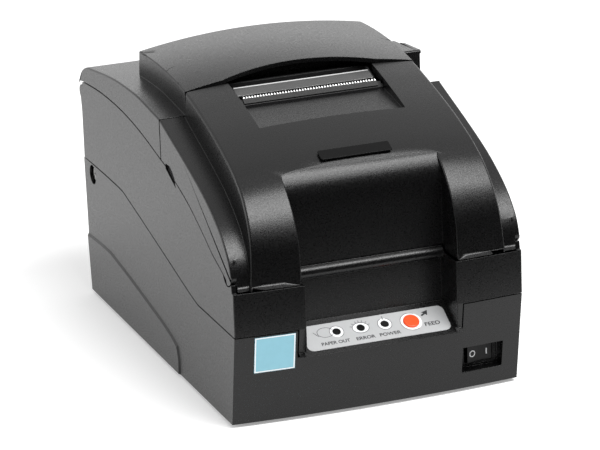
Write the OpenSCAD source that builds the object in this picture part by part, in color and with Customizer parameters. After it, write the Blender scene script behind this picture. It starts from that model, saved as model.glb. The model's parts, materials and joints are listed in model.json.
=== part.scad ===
// Receipt dot matrix printer: moulded case, two hinged covers, impact print mechanism and electronics.
// X runs across, the front face looks along -Y, Z is up. The origin is under the middle of the printer.

/* [Body] */
// Width over the lower case
body_w = 160; // [158:1:176]
// Depth from the front face to the cover hinge barrel
body_d = 251; // [248:1:266]
// Height of the top of the rounded rear cover
body_h = 161.5; // [160:0.5:166]
// Thickness of the moulded shells
wall = 2.5; // [2:0.1:3]
// Visible gap between two moulded shells
seam = 0.6; // [0.4:0.05:0.8]
// Gap between the front cover and the rear cover
split_gap = 1; // [0.6:0.1:1.2]
// Height of the rubber feet
foot_h = 2; // [1.5:0.25:3]
// Height of the case seam at the front face
front_seam_h = 52; // [50:0.5:54]
// Height of the case seam at the rear face
rear_seam_h = 79; // [77:0.5:81]
// How far the front face bows forward at its middle
bow = 3.6; // [2:0.2:5]
// Lean of the lower front face from the vertical, in degrees
lean = 10; // [6:0.5:11]

/* [Covers] */
// Depth of the front cover, from the front face to the split
front_cover_d = 110; // [109:0.5:111]
// Height of the flat shoulders beside the raised middle
shoulder_h = 141.7; // [141:0.1:142.5]
// Width of each shoulder beside the raised middle
shoulder_w = 14.8; // [14:0.2:15.4]
// Radius of the domed top of the rear cover
dome_r = 335; // [300:5:400]
// Radius of the cover hinge barrel
barrel_r = 4; // [3.5:0.1:4.2]
// Radius of the hinge pins
pin_r = 1.5; // [1.2:0.1:1.6]
// Radial clearance of a turning fit
run_gap = 0.05; // [0.03:0.01:0.1]

/* [Paper path] */
// Width of the paper
paper_w = 76; // [70:1:76]
// Half width of the paper window in the front cover
window_hw = 40.4; // [40:0.1:41]
// Radius of the paper roll bucket
bucket_r = 43.5; // [41:0.5:44]
// Height of the print line
print_z = 116; // [115:0.5:117]
// Radius of the rubber feed roller
feed_r = 5.5; // [5:0.1:5.5]

/* [Controls] */
// Width of the recess around the control panel
recess_w = 82.8; // [80:0.4:84]
// Diameter of the feed button
button_d = 8.5; // [7:0.5:9]
// Travel of the feed button
button_travel = 0.8; // [0.5:0.1:1]
// Width of the power switch recess
switch_w = 23; // [22:0.5:25]
// Height of the power switch recess
switch_h = 14.4; // [14:0.2:16]

/* [Print mechanism] */
// Half distance between the inner faces of the steel side plates
frame_hw = 54.5; // [53:0.5:55]
// Thickness of the steel side plates
plate_t = 1.5; // [1:0.1:1.6]
// Radius of the head guide shaft
shaft_r = 4; // [3:0.2:4.4]
// Module of the feed gears
gear_m = 0.8; // [0.8:0.02:0.84]
// Radius of the belt pulleys
pulley_r = 6; // [5:0.5:7]

/* [Hidden] */
$fn = 48;
eps = 0.01;
hw = body_w / 2;
front_y = -body_d / 2;
rear_y = body_d / 2;
side_step = 0.8;
side_x = hw - side_step;
in_x = side_x - wall;
hump_hw = side_x - shoulder_w;
split_y = front_y + front_cover_d;
mid = seam / 2;
split_mid = split_gap / 2;

// Hinge axes
rear_hinge = [rear_y - barrel_r - 0.3, 117.3];
front_hinge = [front_y + 11, 84];
hinge_pocket_r = 5.8;

// Case colours
charcoal = [0.13, 0.13, 0.14];
dark_grey = [0.2, 0.2, 0.21];
steel = [0.66, 0.67, 0.69];
white_nylon = [0.86, 0.85, 0.8];
rubber_black = [0.08, 0.08, 0.08];
board_green = [0.1, 0.32, 0.16];

// Front cover ledge and recess
band_proud = 0.5;
lip_t = 0.6;
lip_step = lip_t + seam;
band_top = 75.5;
band_deck = 70.4;
recess_hw = recess_w / 2;
pillar_in = recess_hw + lip_step;
panel_y = front_y + 21;
panel_bottom = 78.9;
bead_top = panel_bottom - seam;

// Control panel: the tongue slopes from its rear top edge down to the front edge
tongue_hw = 45;
tongue_top = [front_y + 20.5, 48.5];
tongue_low = [front_y + 0.5, 37];
tongue_t = 2.2;
tongue_tilt = atan((tongue_top[1] - tongue_low[1]) / (tongue_top[0] - tongue_low[0]));
tongue_mid = (tongue_top + tongue_low) / 2;
label_w = 79;
label_d = 16.8;
label_t = 0.4;
led_x = [-21, -7.75, 5.5];
led_v = 1.6;
led_d = 5;
button_pos = [19.7, 0.3];
button_proud = 1;
panel_board_drop = 9;
panel_board_t = 1.6;
button_collar = 1.2;
key_switch_h = 0.9;
button_stem = -panel_board_drop + panel_board_t + key_switch_h + button_travel + 0.1;
panel_under = tongue_t * cos(tongue_tilt);

// Power switch
switch_mid = [58, 18.6];
rocker_w = 15.2;
rocker_h = 9.4;
switch_back_y = front_y + 15.5;
rocker_axis = [switch_mid[0] + 0.8, switch_back_y - 0.9];
rocker_tilt = 7;
rocker_r = 7.4;

// Bucket and mechanism, measured from the split and from the rear face
bucket_mid = [rear_y - 73.5, 97];
bucket_t = 2;
cheek_in = paper_w / 2 + 1.5;
bucket_top = 116;
platen_y = split_y - 10.5;
platen_h = 14;
platen_t = 5;
feed_gap = 0.3;
feed_pos = [platen_y - feed_gap - feed_r, 135];
pinch_r = 4;
pinch_pos = [platen_y + 0.1 + pinch_r, 135];
holder_hw = paper_w / 2 + 1.5;
holder_t = 1.2;
head_gap = 1.2;
ribbon_h = 13;
head_tip_y = platen_y - head_gap;
frame_floor = 40;
frame_front = split_y - 76.5;
frame_rear = bucket_mid[0] - 4;
shaft_pos = [platen_y - 24, print_z - 25];
rail_pos = [platen_y - 54, print_z - 36];
belt_y = platen_y - 42;
belt_z = print_z - 45;
pulley_x = 41;
pulley_h = 5;
belt_t = 1;
drive_plate_z = belt_z - 4;
carriage_hw = 13;
ribbon_pos = [-30, platen_y - 60];
ribbon_y = platen_y - 0.9;
outer_gear_x = frame_hw + plate_t + 1.2;
gear_w = 3;
roller_teeth = 24;
idler_teeth = 48;
pinion_teeth = 14;
idler_angle = -60;
pinion_angle = -85;

// Latch and release lever
latch_axis = [rear_y - 91.5, 133];
lever_x = [66.4, 76.6];
lever_slot = [split_y + 25.3, split_y + 62];
lever_wall = [lever_slot[0] - 0.3, lever_slot[0] + 2.4];
recess_rear = lever_slot[0] + 5;
recess_floor = 133.5;
stud_pos = [latch_axis[0] + 2, 113];
stud_r = 2;

// Main board and rear connectors
board_z = foot_h + wall + 4;
board_t = 1.6;
port_z = board_z + board_t;
rear_plate_y = rear_y - 11.5;

// ---------- curves ----------
function spline_point(p0, p1, p2, p3, t) =
    0.5 * (2 * p1 + (p2 - p0) * t + (2 * p0 - 5 * p1 + 4 * p2 - p3) * t * t
    + (3 * p1 - p0 - 3 * p2 + p3) * t * t * t);
function spline(p, n = 3) = let (m = len(p)) concat(
    [for (i = [0 : m - 2], k = [0 : n - 1])
        spline_point(p[max(i - 1, 0)], p[i], p[i + 1], p[min(i + 2, m - 1)], k / n)],
    [p[m - 1]]);
function reversed(p) = [for (i = [len(p) - 1 : -1 : 0]) p[i]];
function turn_left(v) = [-v[1], v[0]] / norm(v);
function inset(p, d) = let (m = len(p))
    [for (i = [0 : m - 1]) p[i] + d * turn_left(p[min(i + 1, m - 1)] - p[max(i - 1, 0)])];
function shifted(p, v) = [for (q = p) q + v];

// Height steps of the top shapes
function sh(d) = shoulder_h - d;

// Seam between the lower and the upper case, from the rear face to the front face
case_seam = spline([
    [rear_y, rear_seam_h], [rear_y - 62, rear_seam_h], [rear_y - 81.5, rear_seam_h - 2.6],
    [split_y + 6, (front_seam_h + rear_seam_h) / 2 - 1], [split_y - 25.5, front_seam_h + 5.2],
    [split_y - 47, front_seam_h + 0.6], [split_y - 58, front_seam_h], [front_y - 2, front_seam_h]], 3);
// Lower edge of the front cover, from its hinge pocket up to the split
front_cover_edge = spline([
    [front_y + 13, 80.3], [front_y + 19, 83.1], [front_y + 33.5, 88.4], [front_y + 44, 93.8],
    [front_y + 62.5, 102.4], [front_y + 73.5, 106.5], [split_y - 23, 110.6], [split_y - 9, 114.8],
    [split_y, 116.4]], 2);
// Lower edge of the rear cover, from the split to the hinge
rear_cover_edge = spline([
    [split_y, 116.4], [split_y + 31, 122.2], [rear_y - 77, 125.8], [rear_y - 42, 126.3],
    [rear_y - 13, 124.3], [rear_y - 1, 122.5]], 3);
// Top of the shoulders
rear_shoulder = spline([
    [split_y, sh(3.2)], [split_y + 28, sh(0.7)], [rear_y - 96, sh(0)], [rear_y - 62, sh(1.4)],
    [rear_y - 25.5, sh(6)], [rear_y - 14.5, sh(7.9)], [rear_y - 6.7, sh(11.3)], [rear_y - 2.3, sh(15.7)],
    [rear_y - 0.6, sh(18.8)]], 3);
front_shoulder = spline([
    [front_y + 4.2, 76], [front_y + 5.3, 84.2], [front_y + 8.5, 91.8], [front_y + 13.7, 97.9],
    [front_y + 20.8, 104], [front_y + 31.2, 110.4], [front_y + 45.3, 117.2], [front_y + 60.5, 122.8],
    [front_y + 75.5, 127.8], [front_y + 90.5, 132.5], [split_y, sh(3.2)]], 2);
// Top of the raised middle of the front cover at its side edges
front_hump = spline([
    [front_y + 2.7, 76], [front_y + 3.1, 85], [front_y + 4.1, 94.9], [front_y + 6.6, 102.5],
    [front_y + 10.8, 110], [front_y + 15.4, 115.6], [front_y + 21.8, 121.6], [front_y + 29, 126],
    [front_y + 37, 130.2], [front_y + 51.3, 135.8], [front_y + 66.7, 140.9], [front_y + 82.4, 145.2],
    [front_y + 99, 149.3], [split_y, 151.4]], 2);
hump_crown = 3;
hump_flare = 0.00114;
// Face of the scoop in the front cover, from under the cover up to the brow
scoop_face = spline([
    [panel_y, panel_bottom - 1], [panel_y, 104], [panel_y + 0.4, 115], [panel_y + 2.8, 121.8],
    [panel_y + 7, 127.4], [panel_y + 9.5, 130.5]], 2);

// ---------- shape helpers ----------
module xbar(points, x0, x1) {
    translate([x0, 0, 0]) rotate([90, 0, 90]) linear_extrude(x1 - x0) polygon(points);
}
module both_sides() {
    children();
    mirror([1, 0, 0]) children();
}
module xcyl(r, x0, x1, y = 0, z = 0) {
    translate([x0, y, z]) rotate([0, 90, 0]) cylinder(r = r, h = x1 - x0);
}
module ycyl(r, y0, y1, x = 0, z = 0) {
    translate([x, y0, z]) rotate([-90, 0, 0]) cylinder(r = r, h = y1 - y0);
}
module block(x, y, z) {
    translate([x[0], y[0], z[0]]) cube([x[1] - x[0], y[1] - y[0], z[1] - z[0]]);
}
// Skin between side profiles: each section is [x, closed profile], and x grows by flare below the level
module loft(sections, flare = 0, level = 0) {
    m = len(sections);
    n = len(sections[0][1]);
    points = [for (s = sections, p = s[1]) [s[0] * (1 + flare * (level - p[1])), p[0], p[1]]];
    sides = [for (i = [0 : m - 2], j = [0 : n - 1]) let (
        a = i * n + j, b = i * n + (j + 1) % n, c = b + n, d = a + n)
        each [[a, d, c], [a, c, b]]];
    first = [for (j = [0 : n - 1]) j];
    last = [for (j = [n - 1 : -1 : 0]) (m - 1) * n + j];
    polyhedron(points = points, faces = concat([first], [last], sides));
}
// Involute gear tooth outline and the gear made of it
function inv_point(rb, t) = rb * [cos(t) + t * PI / 180 * sin(t), sin(t) - t * PI / 180 * cos(t)];
function turned(p, a) = [p[0] * cos(a) - p[1] * sin(a), p[0] * sin(a) + p[1] * cos(a)];
function flank(rb, r0, r1, n = 4) = let (
    t0 = r0 > rb ? acos(rb / r0) : 0, t1 = acos(rb / r1))
    [for (k = [0 : n]) let (a = mixed(tan(t0), tan(t1), k / n) * 180 / PI) inv_point(rb, a)];
function mixed(a, b, t) = a + (b - a) * t;
function gear_outline(teeth, m, slack) = let (
    r = teeth * m / 2, rb = r * cos(20), tip = r + 0.8 * m, root = r - 1.1 * m,
    half = 90 / teeth - slack / r * 180 / PI + (tan(20) * 180 / PI - 20),
    side = flank(rb, max(rb, root), tip))
    [for (i = [0 : teeth - 1]) let (a = i * 360 / teeth) each concat(
        [turned([root, 0], a - half - 0.01)],
        [for (p = side) turned(p, a - half)],
        [for (k = [len(side) - 1 : -1 : 0]) turned([side[k][0], -side[k][1]], a + half)],
        [turned([root, 0], a + half + 0.01)])];
module xgear(teeth, x0, x1, pos, phase) {
    translate([x0, pos[0], pos[1]]) rotate([90, 0, 90]) linear_extrude(x1 - x0)
        rotate(phase) polygon(gear_outline(teeth, gear_m, 0.05));
}

// Front faces: bowed in plan
bow_r = (hw * hw + bow * bow) / (2 * bow);
module bowed_front(d, tilt, z) {
    translate([0, front_y, z]) rotate([tilt, 0, 0]) translate([0, bow_r, -z - 40])
        cylinder(r = bow_r - d, h = 260, $fn = 720);
}

// ---------- lower case ----------
module lower_profile(d) {
    rear = [[rear_y - 7.1 - d, foot_h + d], [rear_y - 3.9 - d, 33], [rear_y - 2.9 - d, 60],
        [rear_y - 2.3 - d, rear_seam_h - 3]];
    top = [for (p = case_seam) if (p[0] < rear_y - 3 - d) [p[0], p[1] - mid + (d > 0 ? 1 : 0)]];
    xbar(concat([[front_y - 2, foot_h + d]], rear, [[rear_y - 2.2 - d, rear_seam_h - mid + (d > 0 ? 1 : 0)]],
        top), -hw + d, hw - d);
}
crease = [
    [rear_y + 1, 33], [rear_y - 27, 34.3], [rear_y - 45, 34.6], [rear_y - 79.5, 30.3],
    [split_y + 11.8, 22.9], [split_y - 4.2, 19.7], [split_y - 13.5, 16.6], [split_y - 16, 10],
    [split_y - 15, 0]];
module side_relief() {
    area = concat([[rear_y + 1, 200]], crease, [[front_y - 3, 0], [front_y - 3, 200]]);
    both_sides() xbar(area, side_x, hw + 1);
}
frame_posts = [for (x = [-46, 46], y = [frame_front + 8, frame_rear - 8]) [x, y]];
case_posts = [for (x = [-69, 69], y = [front_y + 38, rear_y - 20.5]) [x, y]];
board_posts = [for (x = [-62, 62], y = [split_y + 8, rear_plate_y - 14]) [x, y]];
screw_seat_z = 30;
case_post_top = 42;
case_screw_r = 1.5;
case_screw_head = 2.8;
side_screw = [rear_y - 17.3, rear_seam_h - 6.4];
side_screw_recess = 5.4;
side_screw_floor = 3.4;
ports = [[-48, 12, 12], [-24, 13, 13], [0, 13, 12], [34, 40, 14]];
module lower_case() color(charcoal) difference() {
    union() {
        difference() {
            intersection() {
                lower_profile(0);
                bowed_front(0, lean, front_seam_h);
            }
            intersection() {
                lower_profile(wall);
                bowed_front(wall, lean, front_seam_h);
            }
        }
        floor_z = foot_h + wall - eps;
        for (p = frame_posts) translate([p[0], p[1], floor_z]) cylinder(r = 4.5, h = frame_floor - floor_z);
        for (p = case_posts) translate([p[0], p[1], floor_z]) cylinder(r = 5, h = case_post_top - floor_z);
        for (p = board_posts) translate([p[0], p[1], floor_z]) cylinder(r = 3.5, h = board_z - floor_z);
        intersection() {
            both_sides() xcyl(side_screw_recess + 1.6, side_x - side_screw_floor - 1.6, side_x - 1,
                side_screw[0], side_screw[1]);
            lower_profile(0);
        }
        intersection() {
            block([switch_mid[0] - switch_w / 2 - 1.6, switch_mid[0] + switch_w / 2 + 1.6],
                [front_y, switch_back_y + 1.6],
                [switch_mid[1] - switch_h / 2 - 1.6, switch_mid[1] + switch_h / 2 + 1.6]);
            bowed_front(1, lean, front_seam_h);
        }
    }
    side_relief();
    block([-tongue_hw - seam, tongue_hw + seam], [front_y - 5, front_y + 12], [tongue_low[1] - seam, 100]);
    block([switch_mid[0] - switch_w / 2, switch_mid[0] + switch_w / 2], [front_y - 5, switch_back_y],
        [switch_mid[1] - switch_h / 2, switch_mid[1] + switch_h / 2]);
    block([rocker_axis[0] - rocker_w / 2 - 1.2, rocker_axis[0] + rocker_w / 2 + 1.2],
        [switch_back_y - 1, switch_back_y + 4],
        [switch_mid[1] - rocker_h / 2 - 1.2, switch_mid[1] + rocker_h / 2 + 1.2]);
    block([rocker_axis[0] - rocker_w / 2 - 2.4, rocker_axis[0] + rocker_w / 2 + 2.4],
        [switch_back_y + 1.6, switch_back_y + 20],
        [switch_mid[1] - rocker_h / 2 - 2.4, switch_mid[1] + rocker_h / 2 + 2.4]);
    both_sides() xcyl(side_screw_recess, side_x - side_screw_floor, hw + 1, side_screw[0], side_screw[1]);
    both_sides() xcyl(case_screw_r, side_x - 12, hw, side_screw[0], side_screw[1]);
    for (p = case_posts) translate([p[0], p[1], 0]) {
        cylinder(r = case_screw_head + 0.3, h = screw_seat_z);
        cylinder(r = case_screw_r, h = case_post_top + 1);
    }
    block([-62, 62], [rear_plate_y, rear_y], [port_z - 3, port_z + 24]);
}

// ---------- upper case ----------
upper_rear = [[rear_y - 3.3, rear_seam_h], [rear_y - 3.3, 106], [rear_y - 2.4, 112]];
case_knuckles = [[-side_x, -55.3], [-29.7, 29.7], [55.3, side_x]];
cover_knuckles = [[-54.9, -30.1], [30.1, 54.9]];
deck_z = [104, 106];
function below(p, d) = [for (q = p) q - [0, d]];
module upper_side_profile(d) {
    top = concat(below(front_cover_edge, mid), below(rear_cover_edge, mid));
    bottom = [for (p = case_seam) if (p[0] < rear_y - 3.4) p + [0, mid]];
    step = [[front_y - 2, band_top], [front_y + 4.6, band_top], [front_y + 5.4, 79.8], [front_y + 10, 79.8]];
    xbar(concat(step, top, reversed(upper_rear), bottom), -side_x + d, side_x - d);
}
module upper_case() color(charcoal) difference() {
    union() {
        difference() {
            intersection() {
                upper_side_profile(0);
                bowed_front(-band_proud, 0, front_seam_h);
            }
            difference() {
                block([-in_x, in_x], [front_y - 5, rear_y - 3.3 - wall], [0, 200]);
                // front band walls, thick below and a thin lip above
                difference() {
                    block([-hw, hw], [front_y - 5, front_y + 12], [0, band_top]);
                    bowed_front(wall, 0, front_seam_h);
                }
            }
            block([-recess_hw, recess_hw], [front_y - 5, panel_y], [front_seam_h - 2, 200]);
            block([-hw, hw], [rear_hinge[0] - 1.7, rear_y + 5], [rear_hinge[1] - 0.5, 200]);
            intersection() {
                block([-in_x, in_x], [front_y - 5, front_y + 13], [band_deck, 200]);
                bowed_front(lip_t - band_proud, 0, front_seam_h);
            }
        }
        // deck behind the band, with the hinge ears of the front cover
        intersection() {
            both_sides() block([recess_hw, in_x + 1], [front_y - 5, panel_y + 8],
                [band_deck - wall, band_deck]);
            bowed_front(1, 0, front_seam_h);
        }
        both_sides() block([in_x - 4.4, in_x - 1.2], [front_hinge[0], front_hinge[0] + 13],
            [front_hinge[1] - 2.2, front_hinge[1] + 1.6]);
        both_sides() block([in_x - 4.4, in_x + eps], [front_hinge[0] + 10, front_hinge[0] + 13],
            [front_hinge[1] - 8, front_hinge[1] - 1]);
        both_sides() block([case_posts[3][0] - 7, in_x + 1], [front_y + 20, case_posts[2][1] + 6],
            [band_deck - wall, band_deck]);
        both_sides() xcyl(2.2, in_x - 4.4, in_x - 1.2, front_hinge[0], front_hinge[1]);
        // walls of the control recess
        both_sides() intersection() {
            xbar([[front_y - 5, tongue_low[1]], [panel_y, tongue_top[1] - 2], [panel_y, band_top],
                [front_y - 5, band_top]], recess_hw, recess_hw + lip_t);
            bowed_front(-band_proud, 0, front_seam_h);
        }
        block([-recess_hw - lip_t, recess_hw + lip_t], [panel_y, panel_y + wall],
            [tongue_top[1] - 3, bead_top]);
        xcyl(3.4, -recess_hw - lip_t, recess_hw + lip_t, panel_y + 0.4, bead_top - 3.4);
        // cheeks beside the control panel, flush with the lower front face
        both_sides() intersection() {
            xbar([[front_y - 5, tongue_low[1] - 1], [tongue_low[0], tongue_low[1] - 1],
                tongue_low + 0.3 * (tongue_top - tongue_low), [tongue_low[0] + 6, front_seam_h + 1],
                [front_y - 5, front_seam_h + 1]], recess_hw, tongue_hw);
            bowed_front(0, lean, front_seam_h);
        }
        // control panel tongue
        xbar([tongue_top, tongue_top + [0, -tongue_t], tongue_low + [0.4, -tongue_t + 2], tongue_low],
            -tongue_hw, tongue_hw);
        block([-tongue_hw, tongue_hw], [tongue_top[0] - eps, panel_y + wall],
            [tongue_top[1] - tongue_t, tongue_top[1]]);
        // decks beside and behind the paper bucket
        both_sides() block([frame_hw + plate_t + 2, in_x + eps], [split_y + 20, rear_y - 3.4], deck_z);
        block([-in_x, in_x], [bucket_mid[0] + bucket_r + bucket_t + 1.2, rear_y - 3.4], deck_z);
        // hinge barrel of the rear cover
        for (k = case_knuckles) {
            xcyl(barrel_r, k[0], k[1], rear_hinge[0], rear_hinge[1]);
            block(k, [rear_hinge[0] - barrel_r, rear_hinge[0] + 0.8], [deck_z[1] - 1, rear_hinge[1]]);
        }
        // screw bosses and the tabs behind the side screws
        for (p = case_posts) translate([p[0], p[1], case_post_top])
            cylinder(r = 4.5, h = (p[1] < 0 ? band_deck : deck_z[0]) - case_post_top - eps);
        both_sides() block([side_x - side_screw_floor - 4.6, side_x - side_screw_floor - 1.7],
            [side_screw[0] - 6, side_screw[0] + 6], [side_screw[1] - 7, deck_z[0] + 1]);
    }
    xcyl(pin_r, -in_x - 1.4, in_x + 1.4, rear_hinge[0], rear_hinge[1]);
    for (k = cover_knuckles) xcyl(barrel_r + 0.5, k[0] - 0.2, k[1] + 0.2, rear_hinge[0], rear_hinge[1]);
    both_sides() xcyl(pin_r - 0.5, in_x - 5, in_x, front_hinge[0], front_hinge[1]);
    both_sides() xcyl(hinge_pocket_r + seam, in_x - 0.2, hw, front_hinge[0], front_hinge[1]);
    both_sides() xcyl(case_screw_r, side_x - 12, hw, side_screw[0], side_screw[1]);
    for (p = case_posts) translate([p[0], p[1], 0]) cylinder(r = case_screw_r, h = case_post_top + 8);
    panel_frame() {
        for (x = led_x) translate([x, led_v, -5]) cylinder(d = led_d, h = 10);
        translate([button_pos[0], button_pos[1], -5]) cylinder(d = button_d + 0.6, h = 10);
    }
    finger_notch();
}
// Places children on the sloping control panel: z is the panel's normal
module panel_frame() {
    translate([0, tongue_mid[0], tongue_mid[1]]) rotate([tongue_tilt, 0, 0]) children();
}
notch_mid = [split_y - 15.2, 113.4];
notch_depth = 1.2;
module finger_notch() {
    both_sides() translate([side_x - notch_depth, notch_mid[0], notch_mid[1]]) rotate([22, 0, 0])
        xbar([[-9, -2.6], [7.5, -2.6], [8.4, 0], [1, 3.4], [-6, 1]], 0, 4);
}

// ---------- front cover ----------
function cover_bow(x) = bow * (x / hw) * (x / hw);
function crown_share(z) = min(1, max(0, (z - 95) / 30));
module front_body(d) {
    // raised middle
    xs = [for (i = [-4 : 4]) i / 4 * (hump_hw - d)];
    loft([for (x = xs) [x, closed_section(front_hump, x, d)]], hump_flare, 151.4);
    // shoulders
    xbar(closed_section(front_shoulder, side_x, d), -side_x + d, side_x - d);
}
function closed_section(edge, x, d) = let (
    raised = edge == front_hump,
    u = min(abs(x), hump_hw) / hump_hw,
    shift = raised ? cover_bow(x) - cover_bow(hump_hw) : 0,
    curve = inset(edge, -d),
    top = [for (p = curve) let (s = crown_share(p[1]))
        p + [shift * (1 - s), (raised ? hump_crown * (1 - u * u) * s : 0)]])
    concat([[split_y - split_mid + d * 4, 60], [split_y - split_mid + d * 4, top[len(top) - 1][1]]],
        reversed([for (p = top) if (p[0] < split_y - split_mid - eps) p]), [[top[0][0], 60]]);
module cover_region() {
    // side walls end on the seam, the middle ends above the band and above the bead
    both_sides() xbar(concat([[front_y - 5, band_top + mid], [front_y + 10.5, band_top + mid]],
        shifted(front_cover_edge, [0, mid]), [[split_y - split_mid, 200], [front_y - 5, 200]]),
        in_x - 0.5, hw);
    xbar([[front_y - 5, band_top + mid], [panel_y - 0.5, band_top + mid], [panel_y - 0.5, panel_bottom],
        [split_y - split_mid, panel_bottom], [split_y - split_mid, 200], [front_y - 5, 200]],
        -in_x + 0.5, in_x - 0.5);
}
window_floor = [[front_y + 63, 139.7], [split_y - 17.6, 144.2]];
window_rear = split_y + 5;
module front_cover() color(charcoal) difference() {
    union() {
        difference() {
            intersection() {
                front_body(0);
                cover_region();
            }
            difference() {
                front_body(wall);
                block([-pillar_in - wall, pillar_in + wall], [front_y - 5, panel_y - 10], [0, 120]);
                xbar(concat([[front_y - 5, 60]], shifted(scoop_face, [wall, -0.6]), [[front_y - 5, 140]]),
                    -pillar_in - wall, pillar_in + wall);
            }
        }
        // floor and cheeks of the paper window
        intersection() {
            union() {
                xbar([window_floor[0] + [-2, 0], window_floor[0] + [-2, -2], window_floor[1] + [0, -2],
                    window_floor[1]], -window_hw - wall, window_hw + wall);
                both_sides() xbar([window_floor[0] + [-2, -2], window_floor[1] + [0, -2],
                    window_floor[1] + [0, 3], [split_y - split_mid, 146.8], [split_y - split_mid, 170],
                    [window_floor[0][0] - 2, 170]], window_hw, window_hw + wall);
                // closed rear ends of the shoulders
                both_sides() block([hump_hw, in_x + 1], [split_y - split_mid - 2, split_y - split_mid],
                    [129, 140]);
            }
            front_body(0.2);
        }
        // hinge ears
        both_sides() xcyl(3.4, in_x - 1, in_x + eps, front_hinge[0], front_hinge[1]);
        both_sides() block([in_x - 1, in_x + eps], [front_hinge[0] - 3.4, front_hinge[0] + 3.4],
            [front_hinge[1], front_hinge[1] + 8]);
    }
    // central scoop
    xbar(concat([[front_y - 5, 60], [panel_y, 60]], scoop_face, [[front_y - 5, 140]]), -pillar_in, pillar_in);
    block([-pillar_in - wall, pillar_in + wall], [panel_y + wall + 1, split_y - 40], [60, band_deck + 20]);
    // paper window
    xbar([window_floor[0], window_floor[1], window_floor[1] + [0, -wall - 1], [window_rear, 130],
        [window_rear, 190], window_floor[0] + [0, 60]], -window_hw, window_hw);
    // rounded lower corners that turn in the pockets of the case
    both_sides() difference() {
        block([in_x - 0.4, hw + 1], [front_y - 5, front_hinge[0] + 2.5], [60, front_hinge[1]]);
        xcyl(hinge_pocket_r, in_x - 1, hw + 2, front_hinge[0], front_hinge[1]);
    }
    both_sides() xcyl(pin_r - 0.5 + run_gap, in_x - 2, side_x - 0.8, front_hinge[0], front_hinge[1]);
    finger_notch();
}

// ---------- rear cover ----------
hump_rear = [rear_y - 64, rear_y - 70.5];
// The rear cover is open towards the front cover
module rear_body(d) {
    front = split_y + split_mid - 2 * d;
    back = rear_y - 0.6 - d;
    top = [for (p = inset(rear_shoulder, -d)) if (p[0] > front && p[0] < back - 0.1) p];
    xbar(concat([[front, 90], [back, 90], [back, sh(18.8)]], reversed(top), [[front, sh(3.1) - d]]),
        -side_x + d, side_x - d);
    intersection() {
        xbar([[front, 90], [hump_rear[0] - d, 90], [hump_rear[0] - d, sh(0)], [hump_rear[1] - d, 190],
            [front, 190]], -hump_hw + d, hump_hw - d);
        translate([0, bucket_mid[0] - 18, body_h - dome_r]) sphere(r = dome_r - d, $fn = 200);
    }
}
lip_setback = 7;
lip_hw = 45;
lip_r = (lip_hw * lip_hw + lip_setback * lip_setback) / (2 * lip_setback);
module rear_cover() color(charcoal) difference() {
    union() {
        difference() {
            rear_body(0);
            rear_body(wall);
            xbar(concat([[split_y - 5, 60]], [[split_y - 5, 116.4 + mid]], shifted(rear_cover_edge, [0, mid]),
                [[rear_y + 5, 122.5 + mid], [rear_y + 5, 60]]), -hw, hw);
        }
        // hinge knuckles
        for (k = cover_knuckles) {
            xcyl(barrel_r, k[0], k[1], rear_hinge[0], rear_hinge[1]);
            block(k, [rear_hinge[0] - 2.2, rear_hinge[0] + 1.8], [rear_hinge[1] + 1, rear_hinge[1] + 9]);
        }
        // ribs that carry the platen holder and the latch shaft
        intersection() {
            union() {
                for (x = rib_x) block([x - 1.5, x + 1.5], [split_y + 2, latch_axis[0] + 8], [128, 170]);
                block([rib_x[0] - 1.5, rib_x[1] + 1.5], [split_y + 14, split_y + 17], [138, 170]);
                both_sides() block([hump_hw - 2.4, hump_hw], [latch_axis[0] - 6, latch_axis[0] + 6],
                    [128, 170]);
            }
            rear_body(1);
        }
        // floor and inner walls of the recess in front of the release lever
        intersection() {
            union() {
                block([hump_hw - wall, side_x], [split_y, recess_rear + wall],
                    [recess_floor - wall, recess_floor]);
                block([hump_hw - wall, hump_hw + 0.2], [split_y, recess_rear + wall],
                    [recess_floor - wall, sh(-1)]);
                block([hump_hw - wall, lever_x[0]], [recess_rear, recess_rear + wall],
                    [recess_floor - wall, sh(0)]);
            }
            rear_body(0);
        }
    }
    block([hump_hw + 0.2, hw], [split_y - 1, recess_rear], [recess_floor, sh(-8)]);
    // curved front lip
    translate([0, split_y + lip_setback - lip_r, 100]) cylinder(r = lip_r, h = 80, $fn = 180);
    xcyl(pin_r + run_gap, -in_x, in_x, rear_hinge[0], rear_hinge[1]);
    xcyl(latch_r + run_gap, -in_x, in_x, latch_axis[0], latch_axis[1]);
    // slot of the release lever
    block([lever_x[0] - 0.5, lever_x[1] + 0.6], [lever_slot[0], lever_slot[1]], [130, 150]);
}
rib_x = [-44, 44];
latch_r = 2.5;

// ---------- small outside pieces ----------
module rubber_feet() color(rubber_black)
    for (x = [-1, 1], y = [-1, 1])
        translate([x * (hw - 14), y * (rear_y - 22) + 1, 0]) cylinder(r = 7, h = foot_h);
module case_screws() color(steel) for (p = case_posts) translate([p[0], p[1], screw_seat_z]) {
    translate([0, 0, -2]) difference() {
        cylinder(r = case_screw_head, h = 2);
        block([-2, 2], [-0.4, 0.4], [-1, 1]);
    }
    cylinder(r = case_screw_r, h = 18);
}
module side_screws() color(steel) both_sides() {
    x = side_x - side_screw_floor;
    difference() {
        xcyl(4, x, x + 1.8, side_screw[0], side_screw[1]);
        block([x + 1, x + 3], [side_screw[0] - 2.6, side_screw[0] + 2.6],
            [side_screw[1] - 0.5, side_screw[1] + 0.5]);
    }
    xcyl(case_screw_r, x - 4.6, x + 0.1, side_screw[0], side_screw[1]);
}
module rounded_plate(w, d, r, h) {
    block([-w / 2 + r, w / 2 - r], [-d / 2, d / 2], [0, h]);
    block([-w / 2, w / 2], [-d / 2 + r, d / 2 - r], [0, h]);
    for (x = [-1, 1], y = [-1, 1]) translate([x * (w / 2 - r), y * (d / 2 - r), 0]) cylinder(r = r, h = h);
}
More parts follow.
